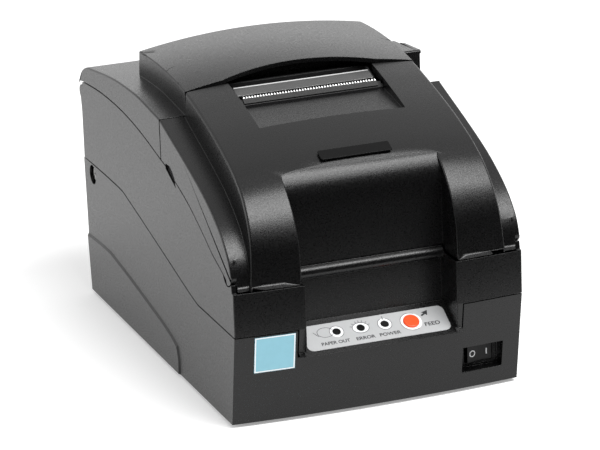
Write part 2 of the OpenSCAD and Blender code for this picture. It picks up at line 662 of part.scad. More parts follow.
module control_label() color([0.75, 0.76, 0.77]) panel_frame() difference() {
    translate([0, -0.3, 0]) rounded_plate(label_w, label_d, 3.4, label_t);
    for (x = led_x) translate([x, led_v, -1]) cylinder(d = led_d, h = 3);
    translate([button_pos[0], button_pos[1], -1]) cylinder(d = button_d + 0.6, h = 3);
}
module led_lenses() color([0.05, 0.05, 0.06]) panel_frame() for (x = led_x) translate([x, led_v, 0]) {
    translate([0, 0, -panel_board_drop + panel_board_t])
        cylinder(d = led_d - 0.6, h = panel_board_drop - panel_board_t - 2.6);
    translate([0, 0, -2.6]) cylinder(d = led_d - 0.4, h = 3.2);
}
module feed_button() color([0.9, 0.3, 0.1]) panel_frame() translate([button_pos[0], button_pos[1], 0]) {
    translate([0, 0, -3]) cylinder(d = button_d, h = 3 + button_proud + label_t);
    translate([0, 0, -panel_under - 0.05 - button_collar]) cylinder(d = button_d + 2.2, h = button_collar);
    translate([0, 0, button_stem]) cylinder(d = 3, h = -3 - button_stem + eps);
}
module panel_board() color(board_green) panel_frame() {
    difference() {
        block([-34, 34], [-6, 7], [-panel_board_drop, -panel_board_drop + panel_board_t]);
        for (x = [-30, 30]) translate([x, 3, -20]) cylinder(r = 1.6, h = 30);
    }
    translate([button_pos[0] - 3, button_pos[1] - 3, -panel_board_drop + panel_board_t - eps])
        cube([6, 6, key_switch_h + eps]);
    for (x = [-30, 30]) translate([x, -3, -panel_board_drop + panel_board_t - eps])
        cylinder(r = 1.8, h = panel_board_drop - panel_board_t - panel_under + eps);
}
module switch_body() color(dark_grey) difference() {
    x = rocker_axis[0];
    z = switch_mid[1];
    union() {
        block([x - rocker_w / 2 - 1.2, x + rocker_w / 2 + 1.2], [switch_back_y, switch_back_y + 12],
            [z - rocker_h / 2 - 1.2, z + rocker_h / 2 + 1.2]);
        block([x - rocker_w / 2 - 2.4, x + rocker_w / 2 + 2], [switch_back_y + 1.6, switch_back_y + 3],
            [z - rocker_h / 2 - 2.4, z + rocker_h / 2 + 2.4]);
        for (dx = [-4, 0, 4]) block([x + dx - 0.4, x + dx + 0.4],
            [switch_back_y + 12 - eps, switch_back_y + 18], [z - 2, z + 2]);
    }
    block([x - rocker_w / 2 - 0.3, x + rocker_w / 2 + 0.3], [switch_back_y - 1, switch_back_y + 6],
        [z - rocker_h / 2 - 0.3, z + rocker_h / 2 + 0.3]);
    translate([x, rocker_axis[1] + 2, z - rocker_h / 2 - 1.1]) cylinder(r = 0.8, h = rocker_h + 2.2);
}
module power_rocker() color([0.07, 0.07, 0.07]) {
    translate([rocker_axis[0], rocker_axis[1] + 2, switch_mid[1] - rocker_h / 2]) {
        rotate([0, 0, rocker_tilt]) linear_extrude(rocker_h)
            polygon([[-rocker_r, -2.4], [0, -1.6], [rocker_r, -2.4], [rocker_r - 1, 2], [-rocker_r + 1, 2]]);
        translate([0, 0, -0.9]) cylinder(r = 0.8 - run_gap, h = rocker_h + 1.8);
    }
}
plate_place = [front_y + 32.7, 131.9];
plate_tilt = 23.5;
module nameplate() color([0.03, 0.03, 0.03]) translate([0, plate_place[0], plate_place[1]])
    rotate([plate_tilt, 0, 0]) rounded_plate(39, 7.2, 1, 0.8);
module warranty_label() color([0.62, 0.78, 0.86]) intersection() {
    difference() {
        bowed_front(-0.3, lean, front_seam_h);
        bowed_front(-0.03, lean, front_seam_h);
    }
    block([-68.6, -47], [front_y - 3, front_y + 12], [30.7, 50.8]);
}

// ---------- steel frame ----------
plate_outline = [
    [frame_front, frame_floor], [frame_rear, frame_floor], [frame_rear, 118], [split_y + 9, 118],
    [split_y - 6, 128], [split_y - 8, 145], [feed_pos[0] - 4, 145], [feed_pos[0] - 7, 139],
    [frame_front + 16, 116], [frame_front, 104]];
module side_plates() color(steel) both_sides() difference() {
    xbar(plate_outline, frame_hw, frame_hw + plate_t);
    xcyl(2.5 + run_gap, frame_hw - 1, frame_hw + plate_t + 1, feed_pos[0], feed_pos[1]);
    xcyl(shaft_r, frame_hw - 1, frame_hw + plate_t + 1, shaft_pos[0], shaft_pos[1]);
    xcyl(stud_r, frame_hw - 1, frame_hw + plate_t + 1, stud_pos[0], stud_pos[1]);
    xcyl(1.5, frame_hw - 1, frame_hw + plate_t + 1, idler_pos[0], idler_pos[1]);
    xcyl(5, frame_hw - 1, frame_hw + plate_t + 1, pinion_pos[0], pinion_pos[1]);
}
module frame_floor_plate() color(steel) difference() {
    block([-frame_hw, frame_hw], [frame_front, frame_rear], [frame_floor, frame_floor + plate_t]);
    for (p = frame_posts) translate([p[0], p[1], 0]) cylinder(r = 1.6, h = 60);
    block([-40, 40], [split_y + 18, frame_rear - 14], [0, 60]);
}
tear_tip = [split_y - 12.8, 148.1];
tear_foot = [split_y - 16.1, 145.7];
tear_slope = (tear_tip[1] - tear_foot[1]) / (tear_tip[0] - tear_foot[0]);
tear_hw = 37.5;
tooth_pitch = 1.56;
tooth_depth = 1.3;
module tear_bar() color(steel) {
    dir = (tear_tip - tear_foot) / norm(tear_tip - tear_foot);
    len_blade = norm(tear_tip - tear_foot);
    count = floor(2 * tear_hw / tooth_pitch);
    translate([0, tear_foot[0], tear_foot[1]]) rotate([atan2(dir[1], dir[0]), 0, 0]) linear_extrude(0.8)
        polygon(concat([[-tear_hw, -0.6], [-tear_hw, len_blade - tooth_depth]],
            [for (i = [0 : count - 1]) each [
                [-tear_hw + (i + 0.5) * 2 * tear_hw / count, len_blade],
                [-tear_hw + (i + 1) * 2 * tear_hw / count, len_blade - tooth_depth]]],
            [[tear_hw, -0.6]]));
}
module tear_bar_carrier() color(dark_grey) difference() {
    xbar([tear_foot + [-0.9, -4.6], tear_foot + [2.2, -4.6], tear_foot + [2.2, 2.2 * tear_slope - 0.03],
        tear_foot + [-0.9, -0.9 * tear_slope - 0.03]], -frame_hw, frame_hw);
    // room for the paper window's cheeks and the cover beside them
    both_sides() block([window_hw - 0.5, frame_hw + 1], [split_y - 30, split_y], [145.9, 160]);
}
module lower_guide() color(dark_grey)
    xbar([[platen_y + 0.5, print_z - 10], [platen_y + 12, print_z - 7], [bucket_front - 0.2, print_z - 5],
        [bucket_front - 0.2, print_z - 7], [platen_y + 12, print_z - 9], [platen_y + 0.5, print_z - 12]],
        -frame_hw, frame_hw);
bucket_front = bucket_mid[0] - bucket_r - bucket_t;

// ---------- paper handling on the rear cover ----------
module guide_plate() color(steel)
    xbar([[split_y - 8.4, 141.4], [split_y - 7.4, 141.4], [split_y - 7.4, 147.2], [split_y - 0.6, 149.4],
        [split_y - 0.9, 150.3], [split_y - 8.4, 147.9]], -paper_w / 2 - 0.2, paper_w / 2 + 0.2);
module platen() color([0.25, 0.25, 0.26])
    block([-paper_w / 2 - 0.2, paper_w / 2 + 0.2], [platen_y, platen_y + platen_t],
        [print_z - platen_h / 2, print_z + platen_h / 2]);
module platen_holder() color(dark_grey) difference() {
    union() {
        both_sides() xbar([[platen_y + 0.6, print_z - platen_h / 2], [platen_y + 7.2, print_z - platen_h / 2],
            [split_y + 9, print_z - 2], [split_y + 9, 150.4], [split_y + 2.6, 150.4],
            [split_y - 7.8, 146.6], [platen_y + 2.2, 141]],
            paper_w / 2 + 0.2, holder_hw + 0.3);
        block([-holder_hw, holder_hw], [platen_y + platen_t, platen_y + platen_t + 2.2],
            [print_z - platen_h / 2, print_z + platen_h / 2]);
        block([-holder_hw, holder_hw], [split_y + 6.8, split_y + 9], [print_z - 2, 150.4]);
        block([-paper_w / 2 - 0.2, paper_w / 2 + 0.2], [split_y - 7.4, split_y + 7], [141.4, 143.4]);
        both_sides() block([holder_hw, rib_x[1] - 1.5], [split_y + 6.8, split_y + 9], [128, 150.4]);
    }
    xcyl(1.5 + run_gap, -holder_hw - 2, holder_hw + 2, pinch_pos[0], pinch_pos[1]);
}
module pinch_rollers() color(rubber_black) {
    xcyl(1.5, -holder_hw - 0.2, holder_hw + 0.2, pinch_pos[0], pinch_pos[1]);
    for (x = [-22, 22]) xcyl(pinch_r, x - 9, x + 9, pinch_pos[0], pinch_pos[1]);
}

// ---------- feed drive ----------
function gear_r(teeth) = teeth * gear_m / 2;
function heading(a) = [cos(a), sin(a)];
idler_pos = feed_pos + (gear_r(roller_teeth) + gear_r(idler_teeth)) * heading(idler_angle);
pinion_pos = idler_pos + (gear_r(idler_teeth) + gear_r(pinion_teeth)) * heading(pinion_angle);
module feed_roller() color(steel) {
    xcyl(2.5, -frame_hw - plate_t - 0.6, outer_gear_x + gear_w, feed_pos[0], feed_pos[1]);
}
module feed_rubbers() color(rubber_black) for (x = [-22, 22]) difference() {
    xcyl(feed_r, x - 13, x + 13, feed_pos[0], feed_pos[1]);
    xcyl(2.5, x - 14, x + 14, feed_pos[0], feed_pos[1]);
}
module bored_gear(teeth, pos, phase, bore) difference() {
    xgear(teeth, outer_gear_x, outer_gear_x + gear_w, pos, phase);
    xcyl(bore, outer_gear_x - 1, outer_gear_x + gear_w + 1, pos[0], pos[1]);
}
module feed_gear() color(white_nylon) bored_gear(roller_teeth, feed_pos, idler_angle, 2.5);
idler_phase = idler_angle + 180 + 180 / idler_teeth;
module idler_gear() color(white_nylon) {
    difference() {
        bored_gear(idler_teeth, idler_pos, idler_phase, 1.5 + run_gap);
        for (a = [0 : 60 : 300]) let (c = idler_pos + 11.5 * [cos(a), sin(a)])
            xcyl(3.6, outer_gear_x - 1, outer_gear_x + gear_w + 1, c[0], c[1]);
    }
}
module idler_axle() color(steel) {
    xcyl(1.5, frame_hw - 0.5, outer_gear_x + gear_w + 0.3, idler_pos[0], idler_pos[1]);
    xcyl(2.5, outer_gear_x + gear_w + 0.3, outer_gear_x + gear_w + 0.9, idler_pos[0], idler_pos[1]);
    xcyl(2.5, frame_hw + plate_t, outer_gear_x - 0.3, idler_pos[0], idler_pos[1]);
}
pinion_phase = pinion_angle + 180 + 180 / pinion_teeth
    + (idler_teeth / pinion_teeth) * (pinion_angle - idler_phase);
module motor_pinion() color([0.8, 0.66, 0.35]) {
    xgear(pinion_teeth, outer_gear_x, outer_gear_x + gear_w, pinion_pos, pinion_phase);
    xcyl(1.5, frame_hw - 0.5, outer_gear_x + eps, pinion_pos[0], pinion_pos[1]);
}
module feed_motor() color([0.5, 0.5, 0.52]) difference() {
    union() {
        xcyl(13, frame_hw - 20, frame_hw, pinion_pos[0], pinion_pos[1]);
        xcyl(4.9, frame_hw - eps, frame_hw + plate_t + 0.6, pinion_pos[0], pinion_pos[1]);
    }
    xcyl(1.5 + run_gap, frame_hw - 0.6, frame_hw + 10, pinion_pos[0], pinion_pos[1]);
}

// ---------- head and carriage ----------
module guide_shaft() color([0.8, 0.8, 0.82])
    xcyl(shaft_r, -frame_hw - plate_t - 0.4, frame_hw + plate_t + 0.4, shaft_pos[0], shaft_pos[1]);
module front_rail() color(steel)
    xbar([rail_pos + [-3, 0], rail_pos + [3, 0], rail_pos + [3, -5], rail_pos + [2, -5], rail_pos + [2, -1],
        rail_pos + [-3, -1]], -frame_hw, frame_hw);
head_mid_y = head_tip_y - 22;
head_r = 15;
bush_r = shaft_r + 2;
belt_run = [belt_y + pulley_r, belt_y + pulley_r + belt_t];
module carriage() color(dark_grey) difference() {
    union() {
        block([-carriage_hw, carriage_hw], [shaft_pos[0] - 8, shaft_pos[0] + 8],
            [shaft_pos[1] - 7.5, shaft_pos[1] + 9]);
        block([-carriage_hw, carriage_hw], [rail_pos[0] - 2.5, shaft_pos[0]],
            [rail_pos[1] + 0.4, rail_pos[1] + 4]);
        block([-2.5, 2.5], belt_run + [-2.5, 2.5], [belt_z + pulley_h + 0.3, rail_pos[1] + 1]);
        block([-2.5, 2.5], [belt_run[1] + 0.3, belt_run[1] + 2.5], [belt_z + 0.4, belt_z + pulley_h + 1]);
        block([-2.5, 2.5], [belt_run[0] - 2.5, belt_run[0] - 0.3], [belt_z + 0.4, belt_z + pulley_h + 1]);
        block([-carriage_hw, carriage_hw], [head_mid_y - 2, head_mid_y + 10],
            [shaft_pos[1] + 8, print_z - 8]);
    }
    xcyl(bush_r, -carriage_hw - 1, carriage_hw + 1, shaft_pos[0], shaft_pos[1]);
    ycyl(head_r, head_mid_y - 20, head_mid_y + 12, 0, print_z - 1);
}
module carriage_bushes() color([0.75, 0.6, 0.35]) for (x = [-carriage_hw, carriage_hw - 7]) difference() {
    xcyl(bush_r, x, x + 7, shaft_pos[0], shaft_pos[1]);
    xcyl(shaft_r + run_gap, x - 1, x + 8, shaft_pos[0], shaft_pos[1]);
}
module print_head() color([0.3, 0.3, 0.32]) {
    ycyl(head_r, head_mid_y - 6, head_mid_y + 9, 0, print_z - 1);
    hull() {
        block([-7, 7], [head_mid_y + 9 - eps, head_mid_y + 10], [print_z - 9, print_z + 8]);
        block([-2.6, 2.6], [head_tip_y - 0.5, head_tip_y], [print_z - 4, print_z + 4]);
    }
}
module head_heatsink() color([0.6, 0.6, 0.62]) {
    y0 = head_mid_y - 6;
    ycyl(5, y0 - 12, y0, 0, print_z - 1);
    for (i = [0 : 4]) ycyl(head_r, y0 - 2.6 * i - 1.6, y0 - 2.6 * i - 0.4, 0, print_z - 1);
}
module belt_outline(r) {
    block([-pulley_x, pulley_x], [belt_y - r, belt_y + r], [belt_z + 0.5, belt_z + pulley_h - 0.5]);
    for (s = [-1, 1]) translate([s * pulley_x, belt_y, belt_z + 0.5]) cylinder(r = r, h = pulley_h - 1);
}
module drive_belt() color([0.12, 0.12, 0.12]) difference() {
    belt_outline(pulley_r + belt_t);
    translate([0, 0, -1]) belt_outline(pulley_r + 0.02);
    belt_outline(pulley_r + 0.02);
    translate([0, 0, 1]) belt_outline(pulley_r + 0.02);
}
module pulley(x, shaft_low) translate([x, belt_y, 0]) {
    translate([0, 0, belt_z + 0.5]) cylinder(r = pulley_r, h = pulley_h - 1);
    for (z = [belt_z, belt_z + pulley_h - 0.45]) translate([0, 0, z]) cylinder(r = pulley_r + 1.2, h = 0.45);
    translate([0, 0, shaft_low]) cylinder(r = 1.5, h = belt_z + pulley_h + 1 - shaft_low);
}
module drive_pulley() color(white_nylon) pulley(-pulley_x, drive_plate_z - 2);
module idler_pulley() color(white_nylon) pulley(pulley_x, drive_plate_z - 3);
module drive_plate() color(steel) difference() {
    union() {
        block([-frame_hw, frame_hw], [belt_y - 18, belt_y + 10], [drive_plate_z - plate_t, drive_plate_z]);
        translate([pulley_x, belt_y, drive_plate_z - 4]) cylinder(r = 4, h = 5.6);
        translate([ribbon_pos[0], ribbon_pos[1], drive_plate_z - 4]) cylinder(r = 4, h = 8);
        both_sides() block([frame_hw - 4, frame_hw], [rail_pos[0] - 3, rail_pos[0] + 3],
            [drive_plate_z - eps, rail_pos[1] - 5]);
    }
    translate([-pulley_x, belt_y, drive_plate_z - 9]) cylinder(r = 3, h = 20);
    translate([pulley_x, belt_y, drive_plate_z - 3.5]) cylinder(r = 1.5 + run_gap, h = 20);
    translate([ribbon_pos[0], ribbon_pos[1], drive_plate_z - 3]) cylinder(r = 2 + run_gap, h = 20);
}
module carriage_motor() color([0.45, 0.45, 0.47]) difference() {
    translate([-pulley_x, belt_y, drive_plate_z - plate_t]) {
        translate([0, 0, -22]) cylinder(r = 13, h = 22);
        translate([0, 0, -eps]) cylinder(r = 2.95, h = plate_t + 0.5);
    }
    translate([-pulley_x, belt_y, drive_plate_z - 2.1]) cylinder(r = 1.5 + run_gap, h = 20);
}

// ---------- ribbon ----------
cassette_hw = 53.6;
arm_w = 6.4;
cassette_z = [print_z - 7.6, print_z + 8];
cassette_front = platen_y - 70;
cassette_body = platen_y - 50;
module ribbon_cassette() color([0.1, 0.1, 0.11]) difference() {
    union() {
        block([-cassette_hw, cassette_hw], [cassette_front, cassette_body], cassette_z);
        both_sides() block([cassette_hw - arm_w, cassette_hw], [cassette_body - 1, platen_y + 0.6],
            cassette_z);
    }
    block([-cassette_hw + 1.6, cassette_hw - 1.6], [cassette_front + 1.6, cassette_body - 1.6],
        [cassette_z[0] + 1.6, cassette_z[1] - 1.6]);
    both_sides() block([cassette_hw - arm_w + 1.6, cassette_hw - 1.6], [cassette_body - 3, platen_y - 1],
        [cassette_z[0] + 1.6, cassette_z[1] - 1.6]);
    both_sides() block([cassette_hw - arm_w - 1, cassette_hw - 1.6], [ribbon_y - 0.4, ribbon_y + 0.6],
        cassette_z + [1, -1]);
    translate([ribbon_pos[0], ribbon_pos[1], cassette_z[0] - 1]) cylinder(r = 4 + run_gap, h = 40);
    both_sides() block([cassette_hw - 12, cassette_hw + 1], [cassette_front - 1, cassette_front + 6],
        [cassette_z[1] - 8, cassette_z[1] + 1]);
}
module ribbon_knob() color(dark_grey) translate([ribbon_pos[0], ribbon_pos[1], 0]) {
    translate([0, 0, cassette_z[0] - 6]) cylinder(r = 4, h = cassette_z[1] - cassette_z[0] + 6.4);
    translate([0, 0, cassette_z[1] + 0.4]) difference() {
        cylinder(r = 7, h = 2);
        for (a = [0 : 30 : 330]) rotate(a) translate([7.4, 0, -1]) cylinder(r = 1, h = 4);
    }
    translate([0, 0, drive_plate_z + 8]) cylinder(r = 7, h = 3);
    translate([0, 0, drive_plate_z - 3]) cylinder(r = 2, h = cassette_z[0] - drive_plate_z);
}
module ink_ribbon() color([0.15, 0.05, 0.3])
    block([-cassette_hw + 3, cassette_hw - 3], [ribbon_y, ribbon_y + 0.2],
        [print_z - ribbon_h / 2, print_z + ribbon_h / 2]);

// ---------- roll bucket ----------
module bucket_shape(r, x, top) {
    intersection() {
        union() {
            xcyl(r, -x, x, bucket_mid[0], bucket_mid[1]);
            block([-x, x], [bucket_mid[0] - r, bucket_mid[0] + r], [bucket_mid[1], 300]);
        }
        block([-200, 200], [-300, 300], [0, top]);
    }
}
sensor_slot = [bucket_mid[0] - 14, 84];
module roll_bucket() color(dark_grey) difference() {
    union() {
        bucket_shape(bucket_r + bucket_t, cheek_in + bucket_t, bucket_top, $fn = 96);
        both_sides() block([cheek_in, frame_hw], [bucket_mid[0] - 26, frame_rear],
            [bucket_top - 4, bucket_top - 2]);
        block([-cheek_in - 10, -cheek_in - bucket_t + eps], [sensor_slot[0] + 12, sensor_slot[0] + 18],
            [sensor_slot[1] - 5, sensor_slot[1] - 2.4]);
    }
    bucket_shape(bucket_r, cheek_in, 400, $fn = 96);
    block([-cheek_in - bucket_t - 1, -cheek_in + 1], [sensor_slot[0] - 4, sensor_slot[0] + 4],
        [sensor_slot[1] - 2.2, sensor_slot[1] + 2.2]);
    translate([-cheek_in - 6, sensor_slot[0] + 15, 0]) cylinder(r = 1 + run_gap, h = 100);
}
module near_end_lever() color(white_nylon) {
    x = -cheek_in - 6;
    y = sensor_slot[0] + 15;
    translate([x, y, sensor_slot[1] - 5.6]) cylinder(r = 1, h = 8);
    translate([x, y, sensor_slot[1] - 2.1]) cylinder(r = 2.6, h = 4);
    block([x - 1, x + 1], [sensor_slot[0] - 1.2, y], [sensor_slot[1] - 1.6, sensor_slot[1] + 1.6]);
    block([x - 1, -cheek_in + 1.6], [sensor_slot[0] - 1.2, sensor_slot[0] + 1.2],
        [sensor_slot[1] - 1.6, sensor_slot[1] + 1.6]);
}

// ---------- hinge pins, latch and lever ----------
module rear_hinge_pin() color(steel) xcyl(pin_r, -in_x - 1.4, in_x + 1.4, rear_hinge[0], rear_hinge[1]);
module front_hinge_pins() color(steel) both_sides()
    xcyl(pin_r - 0.5, in_x - 4.4, side_x - 1.1, front_hinge[0], front_hinge[1]);
module latch_shaft() color(steel) xcyl(latch_r, -in_x + 13, in_x - 1, latch_axis[0], latch_axis[1]);
hook_x = [frame_hw + plate_t + 1.4, frame_hw + plate_t + 4.4];
module latch_hooks() color(dark_grey) both_sides() difference() {
    xbar([[latch_axis[0] - 4, latch_axis[1] + 4], [latch_axis[0] - 4.6, stud_pos[1] - 5.4],
        [stud_pos[0] - stud_r - 0.9, stud_pos[1] - 5.4], [stud_pos[0] - stud_r - 0.35, stud_pos[1] - 4.6],
        [stud_pos[0] - stud_r - 0.35, stud_pos[1] - 3], [stud_pos[0] - stud_r - 1.2, stud_pos[1] + 1],
        [stud_pos[0] - stud_r - 1.2, stud_pos[1] + 4],
        [latch_axis[0] + 4, latch_axis[1] - 4], [latch_axis[0] + 4, latch_axis[1] + 4]],
        hook_x[0], hook_x[1]);
    xcyl(latch_r, hook_x[0] - 1, hook_x[1] + 1, latch_axis[0], latch_axis[1]);
}
module latch_studs() color(steel) both_sides()
    xcyl(stud_r, frame_hw, hook_x[1] + 0.6, stud_pos[0], stud_pos[1]);
module release_lever() color(charcoal) difference() {
    union() {
        xbar([[latch_axis[0] - 5, latch_axis[1] - 4], [latch_axis[0] + 5, latch_axis[1] - 4],
            [latch_axis[0] + 5, latch_axis[1] + 6], [lever_slot[1] - 5, sh(-1)],
            [lever_slot[1] - 5, sh(-3.4)], [lever_slot[0] + 3.2, sh(-5.4)],
            [lever_slot[0] + 2, sh(-0.7)], [latch_axis[0] - 5, sh(-0.7)]],
            lever_x[0], lever_x[1]);
        xbar([[lever_slot[1] - 5, sh(-2.8)], [lever_slot[1] - 5, sh(-4.6)], [lever_slot[0] + 0.6, sh(-7.3)],
            [lever_slot[0] - 0.3, sh(-6.6)], [lever_slot[0] - 0.3, sh(-5.4)]], lever_x[0], lever_x[1]);
        xbar([[latch_axis[0] - 1, sh(-3.3)], [latch_axis[0] - 1, sh(-5.3)], [lever_slot[0] + 0.6, sh(-7.3)],
            [lever_slot[0] - 0.3, sh(-6.6)], [lever_slot[0] - 0.3, sh(-5.4)]], lever_x[0], side_x);
        block([lever_x[0], side_x - 0.6], lever_wall, [recess_floor + 0.8, sh(-5.6)]);
    }
    xcyl(latch_r, lever_x[0] - 1, in_x - 1, latch_axis[0], latch_axis[1]);
}

// ---------- electronics ----------
module main_board() color(board_green) difference() {
    block([-68, 68], [split_y, rear_plate_y - 4], [board_z, board_z + board_t]);
    for (p = board_posts) translate([p[0], p[1], 0]) cylinder(r = 1.4, h = 60);
    for (p = frame_posts) translate([p[0], p[1], 0]) cylinder(r = 5.5, h = 60);
    for (p = case_posts) translate([p[0], p[1], 0]) cylinder(r = 6, h = 60);
}
module board_parts() color([0.12, 0.12, 0.13]) {
    z = board_z + board_t;
    block([-20, 2], [split_y + 44, split_y + 66], [z, z + 2.4]);
    block([14, 30], [split_y + 48, split_y + 60], [z, z + 1.8]);
    for (x = [-52, -38]) translate([x, split_y + 46, z]) cylinder(r = 5, h = 20);
    block([40, 60], [split_y + 70, split_y + 73], [z, z + 22]);
    block([-30, 30], [split_y + 8, split_y + 13], [z, z + 6]);
}
module rear_plate() color(steel) difference() {
    block([-61.6, 61.6], [rear_plate_y + 0.2, rear_plate_y + 1.4], [port_z - 2.8, port_z + 23.8]);
    for (p = ports) block([p[0] - p[1] / 2 - 0.2, p[0] + p[1] / 2 + 0.2], [rear_plate_y - 5, rear_y],
        [port_z - 0.2, port_z + p[2] + 0.2]);
}
module rear_connectors() color([0.1, 0.1, 0.1]) {
    // power inlet, cash drawer jack, square data socket, wide data connector
    difference() {
        for (p = ports) block([p[0] - p[1] / 2, p[0] + p[1] / 2], [rear_plate_y - 16, rear_plate_y + 2.6],
            [port_z, port_z + p[2]]);
        ycyl(3.6, rear_plate_y - 10, rear_y, ports[0][0], port_z + 6);
        block([ports[1][0] - 5, ports[1][0] + 5], [rear_plate_y - 10, rear_y], [port_z + 2.4, port_z + 10]);
        block([ports[2][0] - 4.2, ports[2][0] + 4.2], [rear_plate_y - 10, rear_y],
            [port_z + 2, port_z + 9.6]);
        block([ports[3][0] - 15, ports[3][0] + 15], [rear_plate_y - 8, rear_y], [port_z + 3, port_z + 11]);
    }
    ycyl(1.2, rear_plate_y - 10.1, rear_plate_y, ports[0][0], port_z + 6);
    block([ports[3][0] - 12, ports[3][0] + 12], [rear_plate_y - 8.1, rear_plate_y - 4.5],
        [port_z + 6, port_z + 8]);
}

lower_case();
upper_case();
front_cover();
rear_cover();
rubber_feet();
case_screws();
side_screws();
control_label();
led_lenses();
feed_button();
panel_board();
switch_body();
power_rocker();
nameplate();
warranty_label();
side_plates();
frame_floor_plate();
tear_bar();
tear_bar_carrier();
guide_plate();
platen();
platen_holder();
pinch_rollers();
feed_roller();
feed_rubbers();
feed_gear();
idler_gear();
idler_axle();
motor_pinion();
feed_motor();
guide_shaft();
front_rail();
carriage();
carriage_bushes();
print_head();
head_heatsink();
drive_belt();
drive_pulley();
idler_pulley();
carriage_motor();
drive_plate();
ribbon_cassette();
ribbon_knob();
ink_ribbon();
roll_bucket();
near_end_lever();
lower_guide();
rear_hinge_pin();
front_hinge_pins();
release_lever();
latch_shaft();
latch_hooks();
latch_studs();
main_board();
board_parts();
rear_connectors();
rear_plate();
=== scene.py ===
"""Scene of a dot matrix receipt printer.

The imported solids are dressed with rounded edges, real finishes and printed detail. Lengths are in millimetres
in the named values and become metres where a mesh is made.
X runs across the printer, its front looks along -Y and Z is up.
"""

import json
import math

import bmesh
import bpy
from mathutils import Matrix, Vector


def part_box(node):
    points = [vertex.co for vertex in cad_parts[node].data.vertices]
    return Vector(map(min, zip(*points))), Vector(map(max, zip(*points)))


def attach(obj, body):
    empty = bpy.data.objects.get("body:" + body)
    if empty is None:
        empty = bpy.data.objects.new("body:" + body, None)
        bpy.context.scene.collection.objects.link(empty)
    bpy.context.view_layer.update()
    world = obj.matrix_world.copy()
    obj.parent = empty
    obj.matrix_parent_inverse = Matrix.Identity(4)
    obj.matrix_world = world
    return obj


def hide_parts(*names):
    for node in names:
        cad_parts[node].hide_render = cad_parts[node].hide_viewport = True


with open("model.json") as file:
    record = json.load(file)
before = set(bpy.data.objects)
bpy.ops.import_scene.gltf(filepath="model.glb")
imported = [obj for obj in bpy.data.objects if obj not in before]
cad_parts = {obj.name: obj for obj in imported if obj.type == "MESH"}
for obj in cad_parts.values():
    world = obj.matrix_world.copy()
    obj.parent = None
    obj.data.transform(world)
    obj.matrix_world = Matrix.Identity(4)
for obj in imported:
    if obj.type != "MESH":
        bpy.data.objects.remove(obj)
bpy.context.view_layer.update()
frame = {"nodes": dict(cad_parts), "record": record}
NODES = frame["nodes"]
BODY_OF = {node: body for body, nodes in frame["record"]["behaviour"]["bodies"].items() for node in nodes}
MM = 0.001

# ---------- sizes shared with the solids ----------
HALF_W = 80.0
SIDE_X = 79.2
HUMP_HW = 64.4
FRONT_Y = -125.5
PANEL_Y = -104.5
PILLAR_IN = 42.6
FRONT_SEAM = 52.0
BOW = 3.6
LEAN = math.radians(10)
TONGUE_TOP = (-105.0, 48.5)
TONGUE_LOW = (-125.0, 37.0)
LABEL_T = 0.4
LED_X = (-21.0, -7.75, 5.5)
LED_V = 1.6
BUTTON = (19.7, 0.3)
ROCKER_AXIS = (58.8, -110.9)
ROCKER_HALF, ROCKER_DIP, ROCKER_FACE = 7.4, 0.8, 1.6
SWITCH_Z = 18.6
ROCKER_TILT = math.radians(7)
# The raised part of each side ends at this line, given as y and z.
CREASE = ((126.5, 33), (98.5, 34.3), (80.5, 34.6), (46, 30.3), (-3.7, 22.9), (-19.7, 19.7), (-29, 16.6),
          (-31.5, 10), (-30.5, 0))
CREASE_SLOPE = 1.5
TEAR_FOOT = (-31.6, 145.7)
TEAR_TIP = (-28.3, 148.1)
TEETH_HW, TEETH = 37.5, 48
TOOTH_DEPTH, BLADE_T = 1.3, 0.8
GUIDE_EDGE = (-16.4, 150.3)
GUIDE_FOOT = (-23.9, 147.9)
STICKER_X = (-68.6, -47.0)
STICKER_Z = (30.7, 50.8)

# ---------- radii of the edges that show ----------
FINE_EDGE = 0.22
COVER_EDGE = 1.0
HUMP_EDGE = 1.4
REAR_HUMP_EDGE = 0.7
PILLAR_EDGE = 0.9
CASE_EDGE = 0.8
NEAR = 0.3
SMOOTH_BELOW, ROUND_ABOVE = 24, 30
WELD = 0.004
BROW_Y = (-99.5, -90)
BROW_Z = (125, 133.5)

# ---------- the photograph's camera ----------
CAMERA_AT = (-683.86, -1882.04, 736.54)
CAMERA_AZIMUTH, CAMERA_ELEVATION, CAMERA_ROLL = 20.04, 18.57, -2.04
FOCAL_PIXELS, PICTURE_PIXELS = 3927.0, 600.0
SENSOR_MM = 36.0


# ---------- camera ----------
def make_camera():
    position = Vector(CAMERA_AT) * MM
    azimuth, elevation, roll = (math.radians(v) for v in (CAMERA_AZIMUTH, CAMERA_ELEVATION, CAMERA_ROLL))
    ahead = Vector((math.sin(azimuth) * math.cos(elevation), math.cos(azimuth) * math.cos(elevation),
                    -math.sin(elevation)))
    right = ahead.cross(Vector((0, 0, 1))).normalized()
    up = right.cross(ahead)
    side = right * math.cos(roll) + up * math.sin(roll)
    top = up * math.cos(roll) - right * math.sin(roll)
    data = bpy.data.cameras.new("camera")
    data.sensor_fit = "HORIZONTAL"
    data.sensor_width = SENSOR_MM
    data.lens = FOCAL_PIXELS / PICTURE_PIXELS * SENSOR_MM
    data.clip_start = 0.05
    data.clip_end = 60.0
    camera = bpy.data.objects.new("camera", data)
    matrix = Matrix((side, top, -ahead)).transposed().to_4x4()
    matrix.translation = position
    camera.matrix_world = matrix
    bpy.context.scene.collection.objects.link(camera)
    bpy.context.scene.camera = camera


# ---------- materials ----------
def linear(grey):
    """The linear level of an 8-bit grey."""
    c = grey / 255.0
    return c / 12.92 if c <= 0.04045 else ((c + 0.055) / 1.055) ** 2.4


